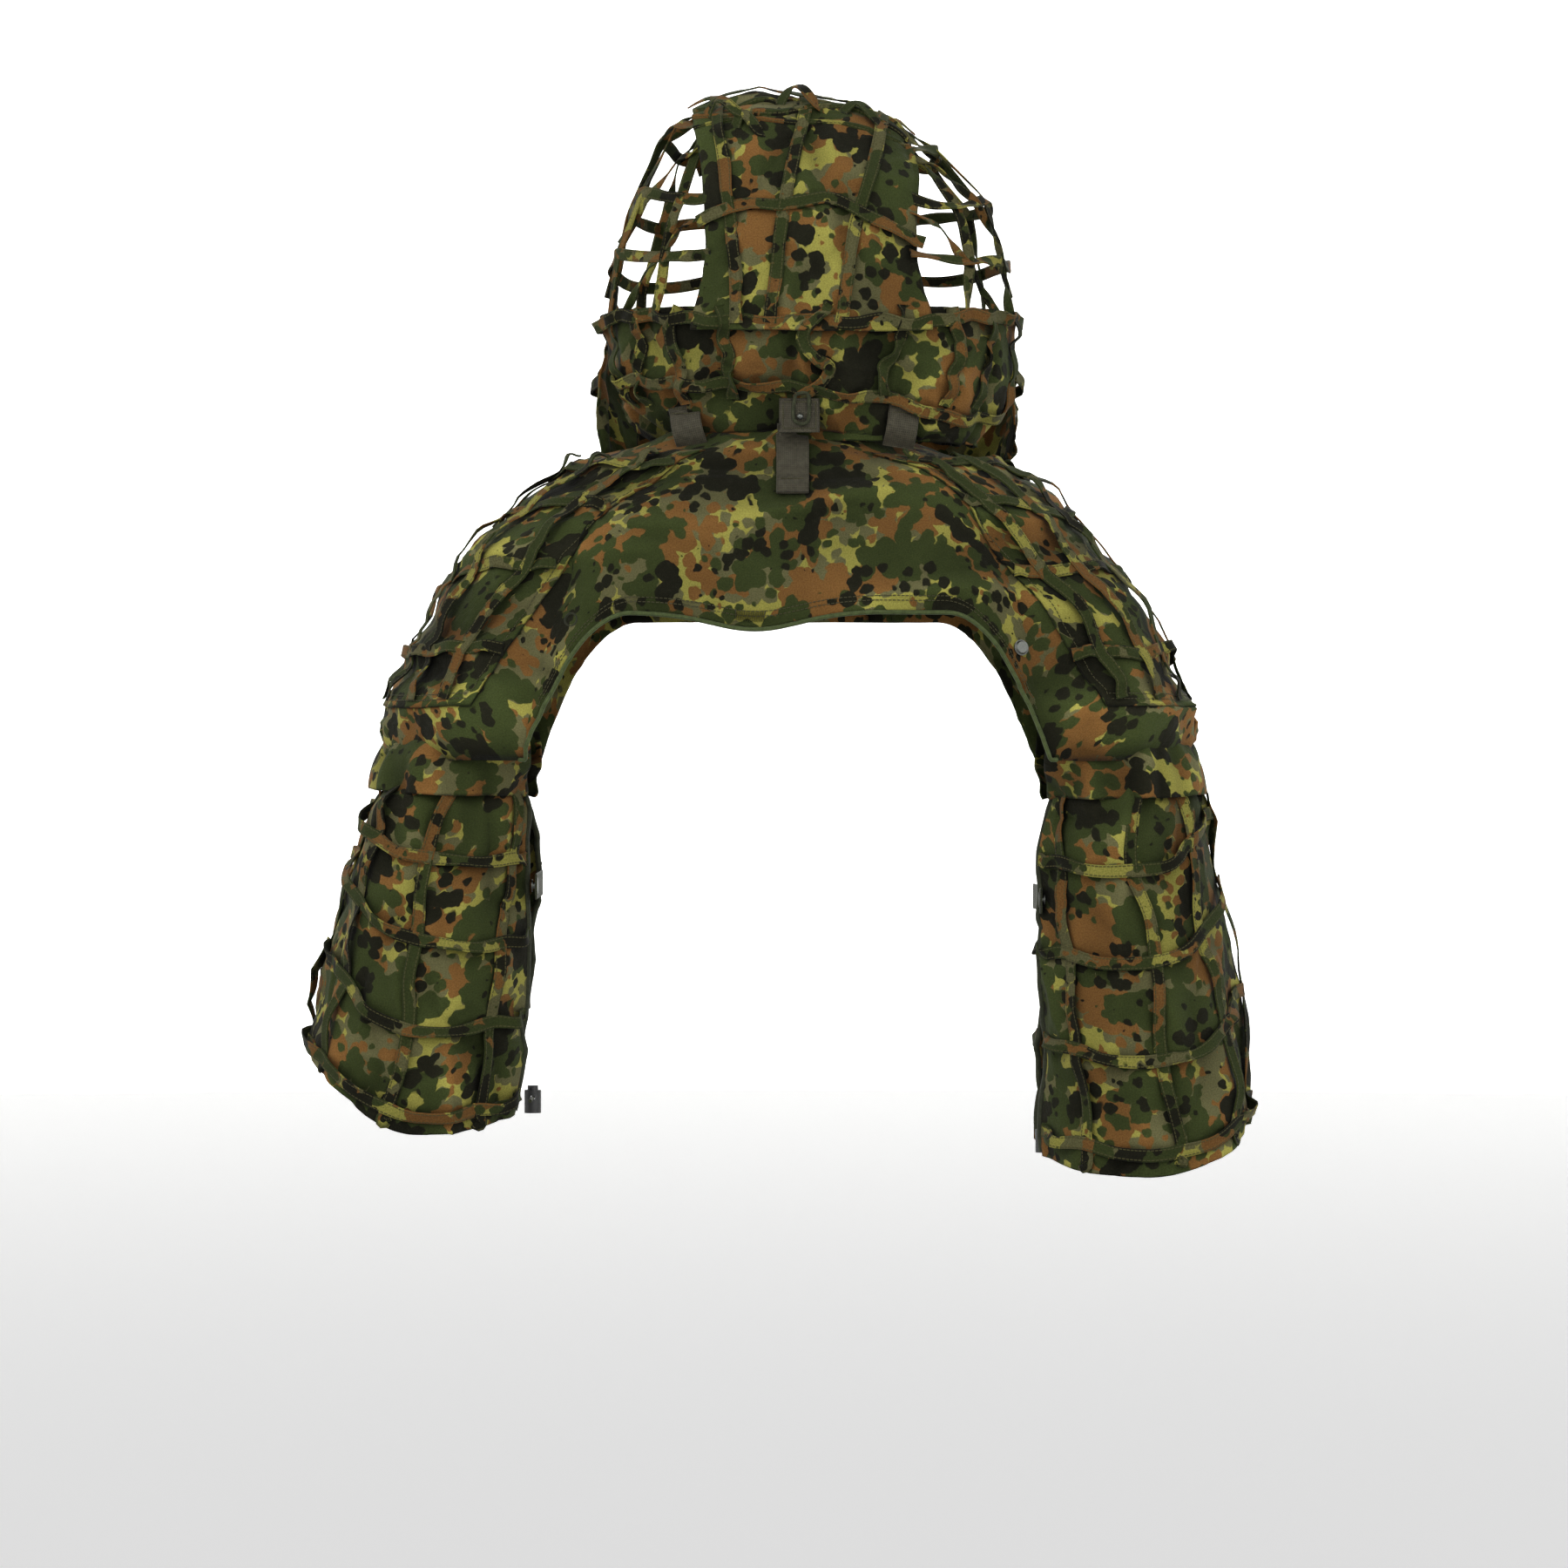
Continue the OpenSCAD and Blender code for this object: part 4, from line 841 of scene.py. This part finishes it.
for side in (-1, 1):
    rng = np.random.default_rng(70 + side)
    name = sideName[side].capitalize()
    body = "sleeve_" + sideName[side]
    surface = sleeveSurface(side)
    bend = dict(blendWith=body, start=(side * 0.26, 0, -0.240), end=(side * 0.26, 0, -0.330))
    openTurn = sleeve["openTurn"]
    cloth = clothPiece("sleeveCloth" + name, surface, sleeveFolds, grid(-openTurn, openTurn, 200), grid(0, 1, 96),
        twill,
                       shift=(5 + side, 2))
    layCloth(cloth, "cape", "sleeve_" + sideName[side], "hung", ["armholeGather" + name], **bend)
    hem = clothPiece("sleeveHem" + name, surface, sleeveFolds, grid(-openTurn + 1, openTurn - 1, 200),
        grid(0.945, 1.002, 10),
                     twill, lift=1.6 * mm, shift=(6 + side, 2.5))
    dress(hem, body, "tape_cloth", "sleeve_hem_" + sideName[side])

    def joinSurface(a, s, side=side, surface=surface):  # loft from inside the cape's hem to the sleeve's top
        hemTurn = a / 156 * 59 + (180 if side < 0 else 0)
        low = surface(a, np.full_like(a, 0.075, dtype=float))
        high = capeSurface(hemTurn, np.full_like(a, 0.93, dtype=float))
        arm = np.array([side * 0.25, 0, 0])
        high = mix(arm * np.array([1, 1, 0]) + high * np.array([0, 0, 1]), high, np.array([0.90, 0.93, 1]))
        s = np.asarray(s)[..., None]
        bulge = np.sin(np.pi * np.clip(s, 0, 1)) * 0.006
        return mix(high, low, s) + bulge * unit(low * np.array([1, 1, 0]) - arm)

    def joinFolds(p):
        return 1.0 * mm + 4.5 * mm * softNoise(p * np.array([1, 1, 0.15]), 0.013) + 2 * mm * softNoise(p, 0.02)

    join = clothPiece("armholeGather" + name, joinSurface, joinFolds, grid(-openTurn, openTurn, 240), grid(0, 1, 20),
        twill,
                      shift=(7 + side, 3))
    layCloth(join, "cape", "armhole_gather_" + sideName[side], "gathered", ["backYoke"], **bend)

    down, across = Mass(), Mass()
    acrossRuns = [(0.25, 0.11), (0.47, 0.32), (0.71, 0.62), (0.95, 0.93)]   # over the back, over the outside

    def crossRun(pair, a):
        return mix(pair[0], pair[1], float(ease(1.15 - abs(a) / 60)))

    slants = [(0, 0), (52, 38), (90, 79), (142, 118), (-52, -38), (-90, -79), (-142, -118)]
    for a0, a1 in slants:
        runs = [0.04] + [crossRun(pair, mix(a0, a1, pair[0])) for pair in acrossRuns] + [0.985]
        nodes = [(mix(a0, a1, s) + rng.uniform(-4, 4), s) for s in runs]
        latticeTape(down, surface, sleeveFolds, nodes, 12, 2.0 * mm, 5.0 * mm, rng, sway=4 * mm, twist=0.5)
    for pair in acrossRuns:
        turns = sorted(mix(a0, a1, pair[0]) for a0, a1 in slants)
        nodes = [(a, crossRun(pair, a) + rng.uniform(-0.02, 0.02)) for a in [-openTurn + 3, *turns, openTurn - 3]]
        nodes = [(a, min(s, 0.975)) for a, s in nodes]
        latticeTape(across, surface, sleeveFolds, nodes, 12, 3.4 * mm, 6.5 * mm, rng, sag=4 * mm, twist=0.6)
    dress(down.build("sleeveTapesDown" + name, tapeCloth), "cape", "tape_cloth",
        "sleeve_tapes_down_" + sideName[side], **bend)
    dress(across.build("sleeveTapesAcross" + name, tapeCloth), "cape", "tape_cloth",
        "sleeve_tapes_across_" + sideName[side],
          **bend)
    edges = Mass()
    for way in (-1, 1):
        s = grid(0.02, 0.99, 90)
        p, n = clothPoint(surface, sleeveFolds, np.full(90, way * (openTurn + 0.2)), s, 0.0)
        edges.ribbon(p, n, 5 * mm, 3 * mm, profile=rounded)
    dress(edges.build("sleeveEdges" + name, edgeCloth), "cape", "binding", "sleeve_edges_" + sideName[side], **bend)
print("sleeves done")

strapProfile = np.array([(-1, 0.5), (-0.97, 0.92), (-0.9, 1), (-0.5, 1), (0, 1), (0.5, 1), (0.9, 1), (0.97, 0.92),
    (1, 0.5),
                         (0.97, 0.08), (0.5, 0), (-0.5, 0), (-0.97, 0.08)])
threadProfile = np.array([(-1, 0.2), (-0.5, 1), (0.5, 1), (1, 0.2), (0, -0.2)])
roundProfile = np.stack([np.cos(grid(0, 2 * np.pi, 13)[:-1]), np.sin(grid(0, 2 * np.pi, 13)[:-1])], -1)


def strapOn(mass, path, out, width, thick):
    mass.ribbon(np.asarray(path), np.asarray(out), width, thick, profile=strapProfile)


def stitchRow(mass, path, out, pitch=3.4 * mm, dash=2.2 * mm, width=0.7 * mm, lift=0.1 * mm):
    # Sewing thread along the path: a dash for each stitch, dipping into the cloth at both ends.
    length = np.concatenate([[0], np.cumsum(np.linalg.norm(np.diff(path, axis=0), axis=-1))])
    starts = np.arange(pitch / 2, length[-1] - dash, pitch)
    at = lambda q, v: np.stack([np.interp(q, length, v[:, k]) for k in range(3)], -1)
    for q in starts:
        where = q + np.array([0, 0.25, 0.75, 1]) * dash
        p, n = at(where, path), unit(at(where, out))
        p = p + n * (np.array([-0.3, 0.0, 0.0, -0.3]) * mm + lift)[:, None]
        mass.ribbon(p, n, width, 0.45 * mm, profile=threadProfile)


def boxStitch(mass, corner, across, down, out):
    # A square of stitches on a flat patch given by a corner and two edge vectors.
    p = [corner, corner + across, corner + across + down, corner + down, corner]
    path = np.concatenate([mix(p[k], p[k + 1], grid(0, 1, 12)[:-1, None]) for k in range(4)] + [[corner]])
    stitchRow(mass, path, np.broadcast_to(out, path.shape), 2.2 * mm, 1.5 * mm)


backOut = np.array([0, -1.0, 0])
webStraps, webThread = Mass(), Mass()
s = grid(0.10, 0.455, 26)
tryTurn = grid(269.5, 270.5, 200)
strapTurn = [np.interp(0.0033, capeSurface(tryTurn, np.full(200, k))[:, 0], tryTurn) for k in s]   # keeps it upright
strapPath, strapOut = clothPoint(capeSurface, capeFolds, np.array(strapTurn), s, 2.6 * mm)
strapPath = np.concatenate([np.linspace([0.0033, -0.1105, 0.014], strapPath[0] + [0, -0.003, 0.003], 5)[:-1],
    strapPath])
strapOut = np.concatenate([np.repeat(strapOut[:1], 4, 0), strapOut])
for _ in range(4):
    strapPath[1:-1] = (strapPath[:-2] + 2 * strapPath[1:-1] + strapPath[2:]) / 4
strapOn(webStraps, strapPath, strapOut, 25 * mm, 1.9 * mm)
tailPath = strapPath[-8:] + strapOut[-8:] * 1.9 * mm
strapOn(webStraps, tailPath, strapOut[-8:], 24.6 * mm, 1.7 * mm)
stitchRow(webThread, np.linspace(tailPath[1] + [-0.010, 0, 0], tailPath[1] + [0.010, 0, 0],
    10) + strapOut[-6] * 1.8 * mm,
          np.repeat(strapOut[-6:-5], 10, 0), 2.2 * mm, 1.5 * mm)
dress(webStraps.build("centreStrap", webbingCloth), "cape", "webbing", "centre_strap")
dress(webThread.build("centreStrapThread", threadCloth), "cape", "webbing")

napeWeb, napeThread = Mass(), Mass()
z = grid(0.0315, 0.0055, 12)
skirtAt = lambda x, height, lift: clothPoint(
    skirtSurface, hoodFolds, 270 + np.degrees(np.arcsin(np.clip(signedPower((x - hood["lean"]) / 0.128, 1.3), -1,
        1))),
    1 - (height - 0.009) / 0.091, lift)
low, _ = skirtAt(np.full(12, 0.0085), z, 2.5 * mm)
beadLow, beadHigh = (np.array(c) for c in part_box("nape_bead"))
napeBack = min(low[:, 1].min() - 1 * mm, -0.108)
napeLine = np.stack([np.full(12, 0.0085), napeBack + 0 * z, z], -1)
for k in range(2):
    strapOn(napeWeb, napeLine + backOut * 1.7 * k * mm, np.broadcast_to(backOut, napeLine.shape), (31 - k) * mm,
        1.8 * mm)
boxStitch(napeThread, napeLine[0] + [-0.0125, -0.0037, -0.003], np.array([0.025, 0, 0]), np.array([0, 0, -0.020]),
    backOut)
dress(napeWeb.build("napePatch", webbingCloth), "cape", "webbing", "nape_patch", **hoodBend)
dress(napeThread.build("napeThread", threadCloth), "cape", "webbing", **hoodBend)
loopCord = Mass()
corners = np.array([(-0.0045, 0, 0.011), (0.0045, 0, 0.0115), (0.006, 0, 0), (0.0045, 0, -0.010),
    (-0.001, 0, -0.0115),
                    (-0.0058, 0, -0.008), (-0.006, 0, 0.002), (-0.0045, 0, 0.011)])
beadAt = (beadLow + beadHigh) / 2
cordPath = smoothPath(corners, 6) + [beadAt[0] + 0.001, napeBack - 0.0050, beadAt[2] + 0.003]
loopCord.ribbon(cordPath, np.broadcast_to(backOut, cordPath.shape), 3 * mm, 1.5 * mm, profile=roundProfile)
dress(loopCord.build("napeLoop", elasticCloth), "cape", "elastic", "nape_loop", **hoodBend)
# the bead on that loop, a turned ball: ring radius and height over the ball's angle
ballTurn, ballRise = np.meshgrid(grid(0, 2 * np.pi, 25)[:-1], grid(-np.pi / 2 + 0.02, np.pi / 2 - 0.02, 14))
ball = np.stack([np.cos(ballRise) * np.cos(ballTurn), np.cos(ballRise) * np.sin(ballTurn), np.sin(ballRise)],
    -1).reshape(-1, 3)
ballFaces = gridFaces(14, 24, 0, True, True).tolist() + [list(range(24))[::-1], list(range(13 * 24, 14 * 24))]
bead = newObject("napeBead", ball * 2.6 * mm + [beadAt[0], napeBack - 0.0062, beadAt[2] - 0.003], ballFaces, nickel)
dress(bead, "cape", "stud_steel", "nape_bead", **hoodBend)

sideLoops, sideThread = Mass(), Mass()
for x in (-0.073, 0.084):
    top, topOut = skirtAt(np.array([x]), np.array([0.030]), 2.0 * mm)
    foot = np.array([x, top[0, 1] + 0.004, -0.004])
    out = unit(0.35 * unit(topOut[0] * [1, 1, 0]) + 0.65 * backOut)
    t = grid(0, 1, 24)[:, None]
    line = mix(top[0], foot, t) + out * (6.5 * mm * np.sin(np.pi * np.clip((t - 0.2) / 0.8, 0, 1)))
    strapOn(sideLoops, line, np.broadcast_to(out, line.shape), 24 * mm, 1.8 * mm)
    across = unit(np.cross([0, 0, 1.0], out))
    rowPath = mix(line[2] - across * 0.010, line[2] + across * 0.010, grid(0, 1, 10)[:, None]) + out * 2.0 * mm
    for drop in (0, 0.0035):
        stitchRow(sideThread, rowPath - [0, 0, drop], np.broadcast_to(out, rowPath.shape), 2.2 * mm, 1.5 * mm)
dress(sideLoops.build("webbingLoops", webbingCloth), "cape", "webbing", "webbing_loops", **hoodBend)
dress(sideThread.build("webbingLoopThread", threadCloth), "cape", "webbing", **hoodBend)

# tape loops standing on the crown seam, and the seam's rolled casing
crownLoops = Mass()
rollX = grid(-0.084, 0.080, 80)
for v, radius in ((45, 3.6 * mm), (48.5, 3.0 * mm), (41.5, 2.6 * mm)):
    p, n = clothPoint(crownSurface, hoodFolds, v + 2.2 * softNoise(np.stack([rollX, 0 * rollX + v, 0 * rollX], -1),
        0.03), rollX, 1 * mm)
    fat = 1 + 0.35 * softNoise(np.stack([rollX, 0 * rollX, 0 * rollX + v], -1), 0.012)
    crownLoops.ribbon(p, n, 2 * radius * fat, radius * 0.9, (v, 0), profile=roundProfile)
rng = np.random.default_rng(77)
for x, v, w, rise in ((-0.062, 44, 0.026, 0.010), (-0.046, 40, 0.020, 0.004), (-0.008, 47, 0.030, 0.012),
        (0.040, 45, 0.030, 0.006)):
    t = grid(0, 1, 20)
    p, n = clothPoint(crownSurface, hoodFolds, np.full(20, v) + 2 * np.sin(5 * t), x + w * (t - 0.5), 1 * mm)
    p = p + n * (rise * np.sin(np.pi * t) ** 0.8)[:, None]
    crownLoops.ribbon(p, n, 9 * mm, 1.2 * mm, (rng.uniform(0, 5), 0))
dress(crownLoops.build("crownLoops", tapeCloth), "hood", "webbing", "crown_loops")

for side in (-1, 1):
    name = sideName[side].capitalize()
    body = "sleeve_" + sideName[side]
    low, high = (np.array(c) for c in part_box("inner_strap_" + sideName[side]))
    y = grid(low[1], high[1], 50)
    middle = (low + high) / 2
    line = np.stack([middle[0] - side * 0.8 * mm + 0.5 * mm * np.sin(y * 60), y,
        middle[2] + 0.8 * mm * np.sin(y * 35)], -1)
    strap = Mass()
    strapOn(strap, line, np.broadcast_to([-side * 1.0, 0, 0], line.shape), 20 * mm, 1.6 * mm)
    dress(strap.build("innerStrap" + name, elasticCloth), "strap_" + sideName[side], "elastic",
        "inner_strap_" + sideName[side])
    low, high = (np.array(c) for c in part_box("hem_cord_" + sideName[side]))
    y = grid(low[1], high[1], 60)
    middle = (low + high) / 2
    line = np.stack([middle[0] + 0 * y, y, middle[2] + 0 * y], -1)
    cordMass = Mass()
    cordMass.ribbon(line, np.broadcast_to([0, 0, 1.0], line.shape), 3 * mm, 1.5 * mm, profile=roundProfile)
    dress(cordMass.build("hemCord" + name, elasticCloth), body, "elastic", "hem_cord_" + sideName[side])
springWire = dict(wire=0.6 * mm, radius=3.0 * mm, coils=2.4, keep=0.3)
for side in (-1, 1):
    name = sideName[side]
    low, high = (np.array(c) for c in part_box("lock_spring_" + name))
    middle = (low + high) / 2
    t = grid(0, 1, 90)
    # a coil: the angle runs steadily, the ends lie flat, the height eases between them
    turn = 2 * np.pi * springWire["coils"] * t
    height = mix(low[2] + springWire["wire"] / 2, high[2] - springWire["wire"] / 2, np.clip((t - 0.12) / 0.76, 0, 1))
    coil = np.stack([middle[0] + springWire["radius"] * np.cos(turn),
        middle[1] + springWire["radius"] * np.sin(turn), height], -1)
    wireMass = Mass()
    wireMass.ribbon(coil, np.broadcast_to([0, 0, 1.0], coil.shape), springWire["wire"], springWire["wire"] / 2,
        profile=roundProfile)
    spring = wireMass.build("lockSpring" + name.capitalize(), springSteel)
    dress(spring, "lock_" + name, "spring_steel", "lock_spring_" + name)
    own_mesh(spring)
print("fittings done")

seams = Mass()
x = grid(-0.192, 0.192, 220)
seamTurn = 270 + np.degrees(np.arcsin(signedPower(x / cape["halfWidth"], 1.5)))
for inset in (0.955, 0.938):
    path, out = clothPoint(capeSurface, capeFolds, seamTurn, np.full(220, inset), cape["cloth"])
    stitchRow(seams, path, out)
for side in (-1, 1):
    for margin in (0.02, 0.035):
        edge = np.stack([grid(-88, 88, 90), np.full(90, 1 - margin)], -1)
        path, out = clothPoint(patchSurface(side), capeFolds, edge[:, 0], edge[:, 1], 2.0 * mm + cape["cloth"])
        stitchRow(seams, path, out)
    for v in (-88, 88):
        path, out = clothPoint(patchSurface(side), capeFolds, np.full(60, v), grid(0.03, 0.97, 60),
            2.0 * mm + cape["cloth"])
        stitchRow(seams, path, out)
dress(seams.build("seamThread", threadCloth), "cape", "camo_cloth")
tack = Mass()
zig = grid(0, 1, 27)
tackX = mix(0.041, 0.018, zig)      # its distance left of the centre line
path, out = clothPoint(capeSurface, capeFolds, 270 - np.degrees((tackX / cape["halfWidth"]) ** 1.5),
                       0.955 + 0.018 * np.where(np.arange(27) % 2, 1, -1), cape["cloth"] + 0.3 * mm)
tack.ribbon(path, out, 0.8 * mm, 0.6 * mm, profile=threadProfile)
dress(tack.build("barTack", threadCloth), "cape", "camo_cloth")
print("seams done")

stays = {"stud_steel": nickel, "spring_steel": springSteel, "lock_plastic": lockNylon, "webbing": webbingCloth,
         "elastic": elasticCloth, "binding": bindingCloth}
for part in frame["record"]["subparts"]:
    node = frame["nodes"].get(part["node"])
    if node is not None and part["material_slot"] in stays:
        for slotIndex in range(max(1, len(node.material_slots))):
            if node.material_slots:
                node.material_slots[slotIndex].material = stays[part["material_slot"]]
            else:
                node.data.materials.append(stays[part["material_slot"]])

paper, paperTree, paperShader = newMaterial("palePaper", **{"Roughness": 0.95, "Emission Strength": 0.72,
                                                            "Emission Color": linearColour("#FFFFFF")})
fibre = addNode(paperTree, "TexNoise", values={"Scale": 40.0}, links={"Vector": addNode(paperTree,
    "TexCoord").outputs["Object"]})
fibreTint = addNode(paperTree, "Mix", links={0: fibre.outputs[0]}, data_type="RGBA")
fibreTint.inputs[6].default_value = linearColour("#F6F6F4")
fibreTint.inputs[7].default_value = linearColour("#FAFAF8")
paperTree.links.new(fibreTint.outputs[2], paperShader.inputs["Base Color"])
floorZ, reach, bend = -0.98, 9.0, 3.0
# seamless sweep: a floor that curves up into a wall all round, radius over height on a profile turned about Z
profile = [(0.0, floorZ)] + [(reach + bend * math.sin(t), floorZ + bend * (1 - math.cos(t))) for t in grid(0,
    math.pi / 2, 10)]
profile += [(reach + bend, 14.0)]
turnCount = 48
ringTurn = grid(0, 2 * math.pi, turnCount + 1)[:-1]
sweep = np.array([[(r * math.cos(t), r * math.sin(t), z) for t in ringTurn] for r, z in profile[1:]]).reshape(-1, 3)
faces = gridFaces(len(profile) - 1, turnCount, 0, True, True).tolist() + [list(range(turnCount))]
floor = newObject("floor", sweep, faces, paper)


def areaLight(name, place, aim, power, size):
    data = bpy.data.lights.new(name, "AREA")
    data.energy = power
    data.size = size
    lamp = bpy.data.objects.new(name, data)
    scene.collection.objects.link(lamp)
    lamp.location = place
    direction = np.array(aim, float) - np.array(place, float)
    lamp.rotation_euler = Vector(direction).to_track_quat("-Z", "Y").to_euler()


areaLight("keyLight", (-1.3, -2.2, 1.9), (0, 0, -0.1), 30, 1.0)
areaLight("fillLight", (2.0, -2.4, 0.4), (0, 0, -0.1), 10, 1.8)
areaLight("frontLight", (0.6, 2.4, 1.5), (0, 0, -0.1), 26, 1.4)
world = bpy.data.worlds.new("studio")
scene.world = world
world.use_nodes = True
background = world.node_tree.nodes["Background"]
background.inputs["Color"].default_value = (1, 1, 1, 1)
background.inputs["Strength"].default_value = 0.27
scene.view_settings.view_transform = "Standard"

cameraData = bpy.data.cameras.new("camera")
cameraData.sensor_width = 36
distance = 4.5
frameWidth = 1.197      # width of the view at the back of the garment, in metres
cameraData.lens = 36 * (distance - 0.11) / frameWidth
camera = bpy.data.objects.new("camera", cameraData)
camera.location = (-0.0033, -distance, -0.263)
camera.rotation_euler = (math.radians(90), 0, 0)
scene.collection.objects.link(camera)
scene.camera = camera

print("scene ready")
